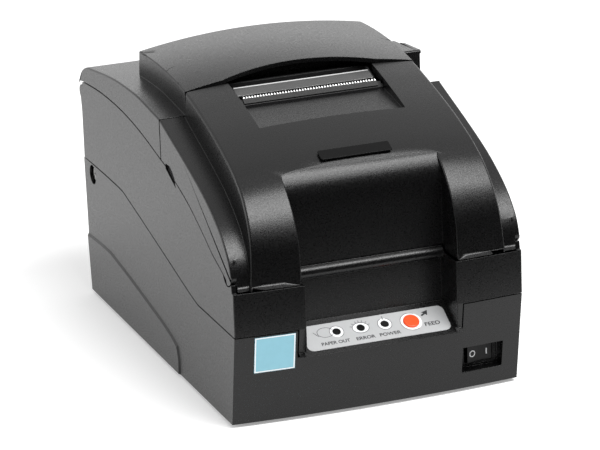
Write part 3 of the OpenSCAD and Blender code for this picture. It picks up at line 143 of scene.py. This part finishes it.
class Finish:
    """One Principled material. Noise of a stated grain size drives its colour, roughness and relief."""

    def __init__(self, name, colour, rough, metal=0.0, spec=0.5, **sockets):
        self.material = bpy.data.materials.new(name)
        self.material.use_nodes = True
        self.tree = self.material.node_tree
        self.shader = self.tree.nodes["Principled BSDF"]
        self.colour = colour
        self.rough = rough
        self.shader.inputs["Base Color"].default_value = (*colour, 1)
        self.shader.inputs["Roughness"].default_value = rough
        self.shader.inputs["Metallic"].default_value = metal
        self.shader.inputs["Specular IOR Level"].default_value = spec
        for socket, value in sockets.items():
            self.shader.inputs[socket.replace("_", " ")].default_value = value
        self.coords = self.tree.nodes.new("ShaderNodeTexCoord").outputs["Object"]
        self.normal = None
        self.paint = None

    def node(self, kind, **values):
        n = self.tree.nodes.new(kind)
        for key, value in values.items():
            setattr(n, key, value)
        return n

    def link(self, a, b):
        self.tree.links.new(a, b)

    def noise(self, size, detail=2.0, stretch=(1, 1, 1), rough=0.5):
        """Noise whose features are about size millimetres across, longer along a stretched axis."""
        mapping = self.node("ShaderNodeMapping")
        mapping.inputs["Scale"].default_value = tuple(1.0 / s for s in stretch)
        self.link(self.coords, mapping.inputs["Vector"])
        n = self.node("ShaderNodeTexNoise")
        n.inputs["Scale"].default_value = 1.0 / (size * MM)
        n.inputs["Detail"].default_value = detail
        n.inputs["Roughness"].default_value = rough
        self.link(mapping.outputs["Vector"], n.inputs["Vector"])
        return n.outputs["Fac"]

    def spread(self, value, low, high, start=0.3, end=0.7):
        m = self.node("ShaderNodeMapRange")
        m.inputs["From Min"].default_value = start
        m.inputs["From Max"].default_value = end
        m.inputs["To Min"].default_value = low
        m.inputs["To Max"].default_value = high
        self.link(value, m.inputs["Value"])
        return m.outputs["Result"]

    def bump(self, height, strength, depth):
        b = self.node("ShaderNodeBump")
        b.inputs["Strength"].default_value = strength
        b.inputs["Distance"].default_value = depth * MM
        self.link(height, b.inputs["Height"])
        if self.normal:
            self.link(self.normal, b.inputs["Normal"])
        self.normal = b.outputs["Normal"]
        self.link(self.normal, self.shader.inputs["Normal"])
        return self

    def vary_rough(self, value, low, high, start=0.3, end=0.7):
        self.link(self.spread(value, low, high, start, end), self.shader.inputs["Roughness"])
        return self

    def mix(self, value, other, start=0.3, end=0.7, amount=1.0):
        """Blends the paint towards another colour where value is high."""
        m = self.node("ShaderNodeMix", data_type="RGBA")
        m.inputs["A"].default_value = (*self.colour, 1)
        if self.paint:
            self.link(self.paint, m.inputs["A"])
        m.inputs["B"].default_value = (*other, 1)
        self.link(self.spread(value, 0.0, amount, start, end), m.inputs["Factor"])
        self.paint = m.outputs["Result"]
        self.link(self.paint, self.shader.inputs["Base Color"])
        return self

    def worn(self, other, amount=0.5):
        """Edges rubbed towards another colour."""
        point = self.node("ShaderNodeNewGeometry").outputs["Pointiness"]
        return self.mix(point, other, 0.52, 0.62, amount)


def grey(level):
    v = linear(level)
    return (v, v, v * 1.04)


def plastic(name, level, rough, grain, relief, spec=0.3, mottle=None):
    """Moulded ABS with a spark-eroded grain.

    The level is a grey, or a colour that comes with its own mottle.
    """
    base = level if mottle else grey(level)
    f = Finish(name, base, rough, spec=spec)
    fine = f.noise(grain, 1.0)
    f.mix(f.noise(14.0, 3.0), mottle or grey(level * 1.12), 0.35, 0.7, 0.6)
    f.mix(f.noise(grain * 0.8, 0.0), mottle or grey(level * 1.35), 0.55, 0.75, 0.5)
    f.vary_rough(f.noise(grain * 1.7, 2.0), rough - 0.06, rough + 0.08)
    f.bump(fine, relief, 0.12)
    f.bump(f.noise(22.0, 1.0), 0.05, 0.4)
    return f.worn(mottle or grey(level * 1.6), 0.35).material


def metal(name, level, rough, stretch=(1, 1, 1), tint=(1, 1, 1), size=0.5):
    """Rolled or brushed metal, with its grain along the stretched axis."""
    v = linear(level)
    colour = tuple(v * t for t in tint)
    f = Finish(name, colour, rough, metal=1.0)
    streak = f.noise(size, 3.0, stretch)
    f.mix(streak, tuple(c * 0.8 for c in colour), 0.35, 0.75, 0.7)
    f.mix(f.noise(9.0, 3.0), tuple(c * 1.1 for c in colour), 0.45, 0.8, 0.5)
    f.vary_rough(streak, max(rough - 0.08, 0.05), rough + 0.12)
    return f.bump(streak, 0.12, 0.05).material


def rubber(name, level, grain=0.8):
    f = Finish(name, grey(level), 0.75, spec=0.25)
    f.mix(f.noise(6.0, 3.0), grey(level * 1.4), 0.4, 0.75, 0.6)
    f.vary_rough(f.noise(2.5, 2.0), 0.62, 0.85)
    return f.bump(f.noise(grain, 2.0), 0.3, 0.1).material


def printed(name, colour, rough):
    """Printed film or paint: flat, with faint mottle and a little orange peel."""
    f = Finish(name, colour, rough, spec=0.45)
    f.mix(f.noise(3.0, 3.0), tuple(c * 0.9 for c in colour), 0.4, 0.8, 0.5)
    f.vary_rough(f.noise(1.2, 2.0), max(rough - 0.05, 0.04), rough + 0.07)
    return f.bump(f.noise(0.9, 1.0), 0.06, 0.03).material


def gloss(name, level, rough=0.12):
    f = Finish(name, grey(level), rough, spec=0.12)
    f.vary_rough(f.noise(4.0, 3.0), rough, rough + 0.1)
    return f.bump(f.noise(7.0, 1.0), 0.04, 0.05).material


def circuit_board(name):
    """Solder mask over copper tracks."""
    f = Finish(name, (0.012, 0.07, 0.028), 0.35, spec=0.5, Coat_Weight=0.4, Coat_Roughness=0.15)
    track = f.node("ShaderNodeTexBrick", offset=0.35)
    track.inputs["Scale"].default_value = 1.0
    track.inputs["Brick Width"].default_value = 7.0 * MM
    track.inputs["Row Height"].default_value = 1.6 * MM
    track.inputs["Mortar Size"].default_value = 0.28 * MM
    track.inputs["Color1"].default_value = (0, 0, 0, 1)
    track.inputs["Color2"].default_value = (0, 0, 0, 1)
    track.inputs["Mortar"].default_value = (1, 1, 1, 1)
    f.link(f.coords, track.inputs["Vector"])
    f.mix(track.outputs["Color"], (0.03, 0.15, 0.06), 0.2, 0.8, 0.8)
    f.mix(f.noise(5.0, 3.0), (0.01, 0.05, 0.02), 0.5, 0.8, 0.5)
    f.bump(track.outputs["Color"], 0.3, 0.04)
    return f.bump(f.noise(0.6, 2.0), 0.08, 0.03).material


def ribbon_cloth(name):
    """Inked nylon weave."""
    f = Finish(name, (0.02, 0.012, 0.045), 0.8, spec=0.2, Sheen_Weight=0.4)
    weave = f.node("ShaderNodeTexWave", wave_type="BANDS", bands_direction="DIAGONAL")
    weave.inputs["Scale"].default_value = 900.0
    weave.inputs["Distortion"].default_value = 0.5
    f.link(f.coords, weave.inputs["Vector"])
    f.mix(weave.outputs["Fac"], (0.045, 0.03, 0.09), 0.2, 0.9, 0.7)
    f.mix(f.noise(4.0, 3.0), (0.01, 0.006, 0.02), 0.4, 0.7, 0.6)
    return f.bump(weave.outputs["Fac"], 0.4, 0.05).material


def make_materials():
    """Plastics take a grey, a roughness, a grain size, its relief and a gloss.

    Metals take a grey and a roughness.
    """
    brushed_x = (18, 1, 1)
    return {
        "case": plastic("case_plastic", 9, 0.29, 0.5, 0.36, 0.33),
        "case_inner": plastic("case_inner_plastic", 20, 0.5, 1.0, 0.4, 0.2),
        "dark": plastic("dark_plastic", 22, 0.46, 0.7, 0.3, 0.25),
        "soft_black": plastic("switch_plastic", 14, 0.34, 0.4, 0.15, 0.2),
        "gloss_black": gloss("black_gloss", 6, 0.2),
        "lens": gloss("lens", 4, 0.1),
        "rubber": rubber("rubber", 24),
        "roller": rubber("roller_rubber", 34, 0.4),
        "label": printed("label_silver", (0.40, 0.405, 0.41), 0.5),
        "ink": printed("label_print", (0.012, 0.012, 0.014), 0.55),
        "white_ink": printed("white_print", (0.80, 0.81, 0.82), 0.5),
        "sticker": printed("sticker_blue", (0.22, 0.46, 0.55), 0.35),
        "orange": plastic("button_orange", (0.80, 0.062, 0.004), 0.32, 0.3, 0.1, 0.5, (0.86, 0.085, 0.01)),
        "steel": metal("steel_sheet", 170, 0.3, brushed_x),
        "bright": metal("bright_steel", 110, 0.3, brushed_x, size=0.3),
        "blade": metal("blade_steel", 60, 0.35, brushed_x, size=0.3),
        # Near-white steel that paints the highlights on the cutter's teeth tips and the paper guide's top edge.
        "polished": metal("painted_highlight_steel", 254, 0.35, brushed_x, size=0.3),
        "screw": metal("zinc_screw", 175, 0.3, tint=(1, 1, 0.97), size=0.8),
        "brass": metal("brass", 205, 0.28, tint=(1, 0.78, 0.42)),
        "alloy": metal("cast_alloy", 150, 0.5, size=1.2),
        "motor": metal("motor_can", 160, 0.34, (1, 1, 12)),
        "nylon": plastic("white_gear", 214, 0.45, 0.8, 0.12, 0.4),
        "board": circuit_board("board"),
        "chip": plastic("chip_plastic", 22, 0.5, 0.4, 0.2, 0.4),
        "ribbon": ribbon_cloth("ribbon_ink"),
    }


# ---------- pieces ----------
def add(name, data, material, body):
    o = bpy.data.objects.new(name, data)
    bpy.context.scene.collection.objects.link(o)
    data.materials.clear()
    data.materials.append(material)
    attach(o, body)
    return o


def moulded(node, material, radius, segments=3):
    """A copy of a solid with welded faces, smooth curves and rounded edges.

    The radius is in millimetres, or a function of an edge and its middle.
    """
    mesh = NODES[node].data.copy()
    bm = bmesh.new()
    bm.from_mesh(mesh)
    if node == "lower_case":
        soften_crease(bm)
    bmesh.ops.remove_doubles(bm, verts=bm.verts, dist=WELD * MM)
    bmesh.ops.dissolve_limit(bm, angle_limit=math.radians(0.4), verts=bm.verts, edges=bm.edges)
    weight = bm.edges.layers.float.new("bevel_weight_edge")
    biggest = 0.0
    radii = {}
    for e in bm.edges:
        if len(e.link_faces) != 2:
            continue
        angle = math.degrees(e.calc_face_angle(0.0))
        e.smooth = angle < SMOOTH_BELOW
        if angle < ROUND_ABOVE:
            continue
        r = radius(e, (e.verts[0].co + e.verts[1].co) / 2 / MM) if callable(radius) else radius
        radii[e] = r
        biggest = max(biggest, r)
    for e, r in radii.items():
        e[weight] = r / biggest if biggest else 0.0
    for f in bm.faces:
        f.smooth = True
    bm.to_mesh(mesh)
    bm.free()
    if mesh.has_custom_normals:
        mesh.attributes.remove(mesh.attributes["custom_normal"])
    o = add(node + "_dressed", mesh, material, BODY_OF[node])
    if biggest:
        bevel = o.modifiers.new("edges", "BEVEL")
        bevel.limit_method = "WEIGHT"
        bevel.width = biggest * MM
        bevel.segments = segments
        bevel.use_clamp_overlap = False
        bevel.harden_normals = True
        bevel.miter_outer = "MITER_ARC"
    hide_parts(node)
    return o


def soften_crease(bm):
    """Turns the step along the side's crease into a slope, by moving its inner edge up the side."""
    for v in bm.verts:
        if abs(abs(v.co.x) - SIDE_X * MM) > 0.02 * MM:
            continue
        p = Vector((v.co.y, v.co.z)) / MM
        for a, b in zip(CREASE, CREASE[1:]):
            a, b = Vector(a), Vector(b)
            along = (b - a).normalized()
            reach = (p - a).dot(along)
            if -0.02 <= reach <= (b - a).length + 0.02 and (p - a - reach * along).length < 0.03:
                away = Vector((along.y, -along.x))
                v.co.y += away.x * CREASE_SLOPE * MM
                v.co.z += away.y * CREASE_SLOPE * MM
                break


def panel_matrix():
    """Places the control panel's own plane: x across, y up the slope, z off the panel."""
    tilt = math.atan2(TONGUE_TOP[1] - TONGUE_LOW[1], TONGUE_TOP[0] - TONGUE_LOW[0])
    middle = Vector((0, (TONGUE_TOP[0] + TONGUE_LOW[0]) / 2, (TONGUE_TOP[1] + TONGUE_LOW[1]) / 2)) * MM
    return Matrix.Translation(middle) @ Matrix.Rotation(tilt, 4, "X")


def flat_piece(name, outlines, height, thickness, place, material, body):
    """Filled outlines (closed point lists) as thin printed relief; inner outlines become holes."""
    curve = bpy.data.curves.new(name, "CURVE")
    curve.dimensions = "2D"
    curve.fill_mode = "BOTH"
    curve.extrude = thickness / 2 * MM
    for points in outlines:
        s = curve.splines.new("POLY")
        s.points.add(len(points) - 1)
        for p, (x, y) in zip(s.points, points):
            p.co = (x * MM, y * MM, 0, 1)
        s.use_cyclic_u = True
    return as_mesh(name, curve, height, thickness, place, material, body)


def as_mesh(name, curve, height, thickness, place, material, body):
    holder = bpy.data.objects.new(name + "_curve", curve)
    bpy.context.scene.collection.objects.link(holder)
    bpy.context.view_layer.update()
    mesh = bpy.data.meshes.new_from_object(holder.evaluated_get(bpy.context.evaluated_depsgraph_get()))
    bpy.data.objects.remove(holder)
    bpy.data.curves.remove(curve)
    mesh.transform(place @ Matrix.Translation((0, 0, (height + thickness / 2) * MM)))
    return add(name, mesh, material, body)


def ring(x, y, r, t, n=40, start=0.0, end=360.0, squash=1.0):
    """Outlines of a ring, or of an arc when it isn't a whole turn."""
    a = [math.radians(start + (end - start) * i / n) for i in range(n + 1)]
    outer = [(x + r * math.cos(v), y + squash * r * math.sin(v)) for v in a]
    inner = [(x + (r - t) * math.cos(v), y + squash * (r - t) * math.sin(v)) for v in a]
    if end - start >= 360:
        return [outer[:-1], inner[:-1][::-1]]
    return [outer + inner[::-1]]


def disc(x, y, r, squash=1.0, n=40):
    """Outline of a disc."""
    turns = (2 * math.pi * i / n for i in range(n))
    return [(x + r * math.cos(a), y + squash * r * math.sin(a)) for a in turns]


def bar(x0, y0, x1, y1, t):
    """Outline of a straight stroke."""
    d = Vector((x1 - x0, y1 - y0)).normalized() * t / 2
    n = Vector((-d.y, d.x))
    return [(x0 + n.x, y0 + n.y), (x0 - n.x, y0 - n.y), (x1 - n.x, y1 - n.y), (x1 + n.x, y1 + n.y)]


def words(name, text, size, x, y, height, place, material, body, width=1.0):
    """A generic function word in the built-in typeface, as thin print."""
    curve = bpy.data.curves.new(name, "FONT")
    curve.body = text
    curve.size = size * MM
    curve.align_x = "CENTER"
    curve.align_y = "CENTER"
    curve.extrude = 0.01 * MM
    curve.offset = 0.07 * MM
    stretch = Matrix.Diagonal((width, 1, 1, 1))
    return as_mesh(name, curve, height, 0.02, place @ Matrix.Translation((x * MM, y * MM, 0)) @ stretch,
                   material, body)


# ---------- edges of the shells ----------
def shell_radius(outer, fine=FINE_EDGE):
    """Rounds what outer names, and gives every other edge a fine radius."""

    def radius(edge, mid):
        n1, n2 = (f.normal for f in edge.link_faces)
        convex = edge.is_convex
        return outer(mid, n1, n2, convex) or fine

    return radius


# Each of these gives the radius of a marked edge, from its middle and the normals of its two faces.
def front_cover_outer(mid, n1, n2, convex):
    if not convex:
        return 0.0
    x = abs(mid.x)
    if BROW_Y[0] < mid.y < BROW_Y[1] and BROW_Z[0] < mid.z < BROW_Z[1] and x < PILLAR_IN - 0.5:
        return COVER_EDGE
    side = max(abs(n1.x), abs(n2.x)) > 0.7
    if side and x > SIDE_X - NEAR and mid.z > 79.5 and max(n1.z, n2.z) > 0.05:
        return COVER_EDGE
    if side and HUMP_HW - NEAR < x < HUMP_HW + 6 and mid.z > 78:
        return HUMP_EDGE
    if side and abs(x - PILLAR_IN) < NEAR and mid.y < PANEL_Y + 8:
        return PILLAR_EDGE
    return 0.0


def rear_cover_outer(mid, n1, n2, convex):
    if not convex:
        return 0.0
    x = abs(mid.x)
    side = max(abs(n1.x), abs(n2.x)) > 0.7
    if side and x > SIDE_X - NEAR and max(n1.z, n2.z) > 0.1 and mid.z > 122:
        return COVER_EDGE
    if side and abs(x - HUMP_HW) < NEAR and mid.z > 140:
        return REAR_HUMP_EDGE
    return 0.0


def case_outer(mid, n1, n2, convex):
    if convex and abs(mid.x) > 78.5 and mid.y < -119 and abs(n1.z) < 0.5 and abs(n2.z) < 0.5:
        return CASE_EDGE
    return 0.0


# ---------- build ----------
make_camera()
MATS = make_materials()

# What each plain solid is made of, its slot and the radius of its edges.
PLAIN = {
    "rubber_feet": ("rubber", "rubber", 0.5),
    "case_screws": ("screw", "zinc_screw", 0.15),
    "side_screws": ("screw", "zinc_screw", 0.2),
    "control_label": ("label", "label_silver", 0.08),
    "led_lenses": ("lens", "lens", 0.35),
    "panel_board": ("board", "board", 0.1),
    "switch_body": ("soft_black", "dark_plastic", 0.25),
    "nameplate": ("gloss_black", "black_gloss", 0.2),
    "side_plates": ("steel", "steel_sheet", 0.2),
    "frame_floor_plate": ("steel", "steel_sheet", 0.2),
    "tear_bar_carrier": ("dark", "dark_plastic", 0.2),
    "guide_plate": ("bright", "bright_steel", 0.12),
    "platen": ("roller", "rubber", 0.3),
    "platen_holder": ("dark", "dark_plastic", 0.25),
    "pinch_rollers": ("roller", "rubber", 0.25),
    "feed_roller": ("steel", "steel_sheet", 0.2),
    "feed_rubbers": ("roller", "rubber", 0.35),
    "feed_gear": ("nylon", "white_gear", 0.12),
    "idler_gear": ("nylon", "white_gear", 0.12),
    "idler_axle": ("steel", "steel_sheet", 0.15),
    "motor_pinion": ("brass", "brass", 0.1),
    "feed_motor": ("motor", "motor_can", 0.4),
    "guide_shaft": ("bright", "bright_steel", 0.3),
    "front_rail": ("steel", "steel_sheet", 0.2),
    "carriage": ("dark", "dark_plastic", 0.35),
    "carriage_bushes": ("brass", "brass", 0.25),
    "print_head": ("alloy", "cast_alloy", 0.35),
    "head_heatsink": ("alloy", "cast_alloy", 0.2),
    "drive_belt": ("rubber", "rubber", 0.15),
    "drive_pulley": ("nylon", "white_gear", 0.15),
    "idler_pulley": ("nylon", "white_gear", 0.15),
    "drive_plate": ("steel", "steel_sheet", 0.2),
    "carriage_motor": ("motor", "motor_can", 0.4),
    "ribbon_cassette": ("dark", "dark_plastic", 0.5),
    "ribbon_knob": ("soft_black", "dark_plastic", 0.3),
    "ink_ribbon": ("ribbon", "ribbon_ink", 0.0),
    "roll_bucket": ("case_inner", "dark_plastic", 0.35),
    "near_end_lever": ("nylon", "white_gear", 0.25),
    "lower_guide": ("dark", "dark_plastic", 0.2),
    "rear_hinge_pin": ("steel", "steel_sheet", 0.2),
    "front_hinge_pins": ("steel", "steel_sheet", 0.15),
    "latch_shaft": ("steel", "steel_sheet", 0.25),
    "latch_hooks": ("dark", "dark_plastic", 0.3),
    "latch_studs": ("steel", "steel_sheet", 0.15),
    "main_board": ("board", "board", 0.1),
    "board_parts": ("chip", "dark_plastic", 0.2),
    "rear_plate": ("steel", "steel_sheet", 0.15),
    "rear_connectors": ("chip", "dark_plastic", 0.2),
}

moulded("front_cover", MATS["case"], shell_radius(front_cover_outer))
moulded("rear_cover", MATS["case"], shell_radius(rear_cover_outer))
moulded("upper_case", MATS["case"], shell_radius(case_outer, 0.18))
moulded("lower_case", MATS["case"], shell_radius(case_outer))
moulded("release_lever", MATS["case"], 0.45)
moulded("feed_button", MATS["orange"], 0.6)
moulded("power_rocker", MATS["soft_black"], 0.4)
moulded("tear_bar", MATS["blade"], 0.0)
moulded("warranty_label", MATS["sticker"], 0.0)
for node, (look, slot, edge) in PLAIN.items():
    moulded(node, MATS[look], edge, segments=2)


# ---------- print on the control label ----------
RING_R, STROKE = 3.9, 0.3
EYE_R, EYE_SQUASH = 4.6, 0.78
ROLL_SQUASH = 0.72
ARROW = ((7.2, 5.2), (10.9, 6.2), (9.9, 2.8), (9.0, 3.8), (6.9, 2.6), (6.4, 3.4), (8.3, 4.5))
LASHES = (20, 45, 70, 90, 110, 135, 160)


def make_label_print():
    """White fields, marks and generic words around the three lenses and the button."""
    place = panel_matrix()
    paper, error, power = LED_X
    button_x, button_y = BUTTON
    fills = {
        "fill_paper": disc(paper, LED_V, RING_R - 0.2),
        "fill_error": disc(error, LED_V, 4.3, ROLL_SQUASH),
        "fill_power": disc(power, LED_V, RING_R - 0.2),
        "fill_button": disc(button_x, button_y, 5.8),
    }
    for name, outline in fills.items():
        flat_piece(name, [outline], LABEL_T, 0.015, place, MATS["white_ink"], "base")

    roll = (paper - 6.0, LED_V + 0.6, EYE_R, STROKE, 30)
    tail = bar(paper - 12.5, LED_V + 1.6, paper - 10.2, LED_V - 1.5, STROKE)
    lashes = []
    for a in map(math.radians, LASHES):
        foot = (error + 4.4 * math.cos(a), LED_V + 3.6 * math.sin(a))
        tip = (error + 5.8 * math.cos(a), LED_V + 5.0 * math.sin(a))
        lashes.append(bar(*foot, *tip, STROKE))
    marks = {
        "print_paper": ring(paper, LED_V, RING_R, STROKE) + ring(*roll, 20, 200, ROLL_SQUASH)
        + ring(*roll, 200, 330, ROLL_SQUASH) + [tail],
        "print_power": ring(power, LED_V, RING_R, STROKE, 36, 112, 428)
        + [bar(power, LED_V + 2.8, power, LED_V + 5.2, 0.34)],
        "print_button": ring(button_x, button_y, 5.9, 0.28, 40, 60, 300),
        "print_arrow": [[(button_x + x, y) for x, y in ARROW]],
        "print_error": ring(error, LED_V, EYE_R, STROKE, squash=EYE_SQUASH) + lashes,
    }
    for name, outlines in marks.items():
        flat_piece(name, outlines, LABEL_T, 0.03, place, MATS["ink"], "base")

    line = LED_V - 6.9
    for name, text, x, y, size, width in (
            ("word_paper", "PAPER OUT", paper - 2.8, line, 2.9, 1.04),
            ("word_error", "ERROR", error + 0.4, line, 2.9, 1.15),
            ("word_power", "POWER", power + 0.6, line, 2.9, 1.15),
            ("word_feed", "FEED", button_x + 10.6, line + 2.2, 3.4, 1.15)):
        words(name, text, size, x, y, LABEL_T, place, MATS["ink"], "base", width)


def make_switch_marks():
    """The ring and the stroke on the two halves of the rocker."""
    base = Vector((ROCKER_AXIS[0], ROCKER_AXIS[1] + 2, SWITCH_Z)) * MM
    turn = Matrix.Rotation(ROCKER_TILT, 4, "Z")
    off = ring(0, 0, 1.8, 0.5)
    on = [bar(0, -1.6, 0, 1.6, 0.55)]
    for name, x, outlines in (("mark_off", -4.2, off), ("mark_on", 4.2, on)):
        slope = math.atan2(ROCKER_DIP, ROCKER_HALF) * (1 if x < 0 else -1)
        depth = -ROCKER_FACE - ROCKER_DIP * abs(x) / ROCKER_HALF
        face = Matrix.Translation(base) @ turn @ Matrix.Translation((x * MM, depth * MM, 0))
        place = face @ Matrix.Rotation(slope, 4, "Z") @ Matrix.Rotation(math.pi / 2, 4, "X")
        flat_piece(name, outlines, 0.0, 0.05, place, MATS["white_ink"], "power_rocker")


def sloping(foot, tip):
    """A plane that rises from foot to tip, given as y and z."""
    tilt = math.atan2(tip[1] - foot[1], tip[0] - foot[0])
    return Matrix.Translation(Vector((0, foot[0], foot[1])) * MM) @ Matrix.Rotation(tilt, 4, "X")


def make_painted_edge_highlights():
    """Painted highlights: near-white strips where the cutter's teeth tips and the guide's top edge catch light.
    """
    length = math.dist(TEAR_FOOT, TEAR_TIP)
    pitch = 2 * TEETH_HW / TEETH
    teeth = []
    for i in range(TEETH):
        x = -TEETH_HW + (i + 0.5) * pitch
        low = length - TOOTH_DEPTH
        teeth.append([(x - 0.36 * pitch, low), (x + 0.36 * pitch, low), (x + 0.08 * pitch, length - 0.15),
                      (x - 0.08 * pitch, length - 0.15)])
    # Painted highlight: a near-white strip on each tooth tip, where the serrated edge catches the light.
    flat_piece("tear_teeth_painted_highlight", teeth, BLADE_T, 0.04, sloping(TEAR_FOOT, TEAR_TIP), MATS["polished"],
               BODY_OF["tear_bar"])
    # Painted highlight: a near-white strip along the guide plate's top edge, where that edge catches the light.
    _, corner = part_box("guide_plate")
    half = corner[0] / MM - 0.4
    depth = math.dist(GUIDE_FOOT, GUIDE_EDGE)
    strip = [(-half, depth - 0.9), (half, depth - 0.9), (half, depth - 0.02), (-half, depth - 0.02)]
    flat_piece("guide_edge_painted_highlight", [strip], 0.0, 0.05, sloping(GUIDE_FOOT, GUIDE_EDGE), MATS["polished"],
               BODY_OF["guide_plate"])


def bowed_y(x, z, proud):
    """Where the lower front face, a leaning drum, stands at x and z, or a little proud of it."""
    radius = (HALF_W**2 + BOW**2) / (2 * BOW)
    drum = math.sqrt((radius + proud) ** 2 - x * x) - radius
    return FRONT_Y - drum / math.cos(LEAN) + (FRONT_SEAM - z) * math.tan(LEAN)


def make_sticker_border():
    """White edge of the warranty sticker, following the bowed face."""
    x0, x1 = STICKER_X
    z0, z1 = STICKER_Z
    margin, t, proud = 0.15, 0.75, 0.33
    steps = 12
    bm = bmesh.new()

    def strip(xa, xb, za, zb):
        rows = []
        for i in range(steps + 1):
            x = xa + (xb - xa) * i / steps
            rows.append([bm.verts.new(Vector((x, bowed_y(x, z, proud), z)) * MM) for z in (za, zb)])
        for a, b in zip(rows, rows[1:]):
            bm.faces.new((a[0], b[0], b[1], a[1]))

    strip(x0 + margin, x1 - margin, z0 + margin, z0 + t)
    strip(x0 + margin, x1 - margin, z1 - t, z1 - margin)
    strip(x0 + margin, x0 + t, z0 + t, z1 - t)
    strip(x1 - t, x1 - margin, z0 + t, z1 - t)
    mesh = bpy.data.meshes.new("sticker_border")
    bm.to_mesh(mesh)
    bm.free()
    add("sticker_border", mesh, MATS["white_ink"], BODY_OF["warranty_label"])


make_label_print()
make_switch_marks()
make_painted_edge_highlights()
make_sticker_border()


# ---------- studio ----------
def seen_by(tree, *rays):
    """One for the named kinds of ray and nought for the others."""
    path = tree.nodes.new("ShaderNodeLightPath")
    value = path.outputs[rays[0]]
    for ray in rays[1:]:
        either = tree.nodes.new("ShaderNodeMath")
        either.operation = "MAXIMUM"
        tree.links.new(value, either.inputs[0])
        tree.links.new(path.outputs[ray], either.inputs[1])
        value = either.outputs[0]
    return value


def switch(tree, factor, without, chosen, target):
    """Links one of two shaders to the target, by the factor."""
    pick = tree.nodes.new("ShaderNodeMixShader")
    tree.links.new(factor, pick.inputs[0])
    tree.links.new(without, pick.inputs[1])
    tree.links.new(chosen, pick.inputs[2])
    tree.links.new(pick.outputs["Shader"], target)


def make_floor():
    """A white floor that keeps the shadow and fades to pure white around the printer."""
    mesh = bpy.data.meshes.new("floor")
    s = 14.0
    mesh.from_pydata([(-s, -s, 0), (s, -s, 0), (s, s, 0), (-s, s, 0)], [], [(0, 1, 2, 3)])
    floor = bpy.data.objects.new("floor", mesh)
    bpy.context.scene.collection.objects.link(floor)
    m = bpy.data.materials.new("floor_white")
    m.use_nodes = True
    tree = m.node_tree
    shader = tree.nodes["Principled BSDF"]
    shader.inputs["Base Color"].default_value = (0.86, 0.86, 0.86, 1)
    shader.inputs["Roughness"].default_value = 0.9
    shader.inputs["Specular IOR Level"].default_value = 0.1
    glow = tree.nodes.new("ShaderNodeEmission")
    glow.inputs["Color"].default_value = (1, 1, 1, 1)
    reach = tree.nodes.new("ShaderNodeVectorMath")
    reach.operation = "LENGTH"
    tree.links.new(tree.nodes.new("ShaderNodeTexCoord").outputs["Object"], reach.inputs[0])
    fade = tree.nodes.new("ShaderNodeMapRange")
    fade.inputs["From Min"].default_value = 0.35
    fade.inputs["From Max"].default_value = 1.4
    fade.inputs["To Min"].default_value = 0.3
    fade.inputs["To Max"].default_value = 0.62
    tree.links.new(reach.outputs["Value"], fade.inputs["Value"])
    tree.links.new(fade.outputs["Result"], glow.inputs["Strength"])
    lifted = tree.nodes.new("ShaderNodeAddShader")
    tree.links.new(shader.outputs["BSDF"], lifted.inputs[0])
    tree.links.new(glow.outputs["Emission"], lifted.inputs[1])
    seen = seen_by(tree, "Is Camera Ray", "Is Glossy Ray")
    target = tree.nodes["Material Output"].inputs["Surface"]
    switch(tree, seen, shader.outputs["BSDF"], lifted.outputs["Shader"], target)
    mesh.materials.append(m)


def make_world():
    """White where it is seen or mirrored, and dimmer as a light."""
    world = bpy.data.worlds.new("studio")
    bpy.context.scene.world = world
    world.use_nodes = True
    tree = world.node_tree
    light = tree.nodes["Background"]
    light.inputs["Color"].default_value = (1, 1, 1, 1)
    light.inputs["Strength"].default_value = 0.5
    white = tree.nodes.new("ShaderNodeBackground")
    white.inputs["Color"].default_value = (1, 1, 1, 1)
    white.inputs["Strength"].default_value = 1.0
    seen = seen_by(tree, "Is Camera Ray", "Is Transmission Ray", "Is Glossy Ray")
    target = tree.nodes["World Output"].inputs["Surface"]
    switch(tree, seen, light.outputs["Background"], white.outputs["Background"], target)


def make_flag():
    """A black card in front, flat and then upright, that only gloss sees. It keeps the front faces deep."""
    mesh = bpy.data.meshes.new("flag")
    x, near, far, low, high = 1.3, -0.24, -0.7, 0.004, 0.66
    corners = [(-x, near, low), (x, near, low), (x, far, low), (-x, far, low), (-x, far, high),
               (x, far, high)]
    mesh.from_pydata(corners, [], [(0, 1, 2, 3), (3, 2, 5, 4)])
    flag = bpy.data.objects.new("flag", mesh)
    bpy.context.scene.collection.objects.link(flag)
    m = bpy.data.materials.new("flag_black")
    m.use_nodes = True
    shader = m.node_tree.nodes["Principled BSDF"]
    shader.inputs["Base Color"].default_value = (0.004, 0.004, 0.004, 1)
    shader.inputs["Roughness"].default_value = 1.0
    shader.inputs["Specular IOR Level"].default_value = 0.0
    mesh.materials.append(m)
    flag.visible_camera = False
    flag.visible_shadow = False
    flag.visible_diffuse = False


def softbox(name, place, aim, width, height, power):
    data = bpy.data.lights.new(name, "AREA")
    data.shape = "RECTANGLE"
    data.size = width
    data.size_y = height
    data.energy = power
    lamp = bpy.data.objects.new(name, data)
    lamp.location = place
    lamp.rotation_euler = (Vector(place) - Vector(aim)).to_track_quat("Z", "Y").to_euler()
    bpy.context.scene.collection.objects.link(lamp)


make_floor()
make_world()
softbox("key", place=(0.3, -0.70, 1.18), aim=(0, -0.05, 0.1), width=0.9, height=0.66, power=22.0)
softbox("back", place=(0.8, 2.2, 0.95), aim=(0, 0, 0.1), width=1.7, height=0.8, power=4.0)
softbox("left_fill", place=(-1.4, 0.5, 0.7), aim=(0, 0, 0.08), width=0.9, height=0.9, power=7.5)
make_flag()

bpy.context.scene.view_settings.view_transform = "Standard"
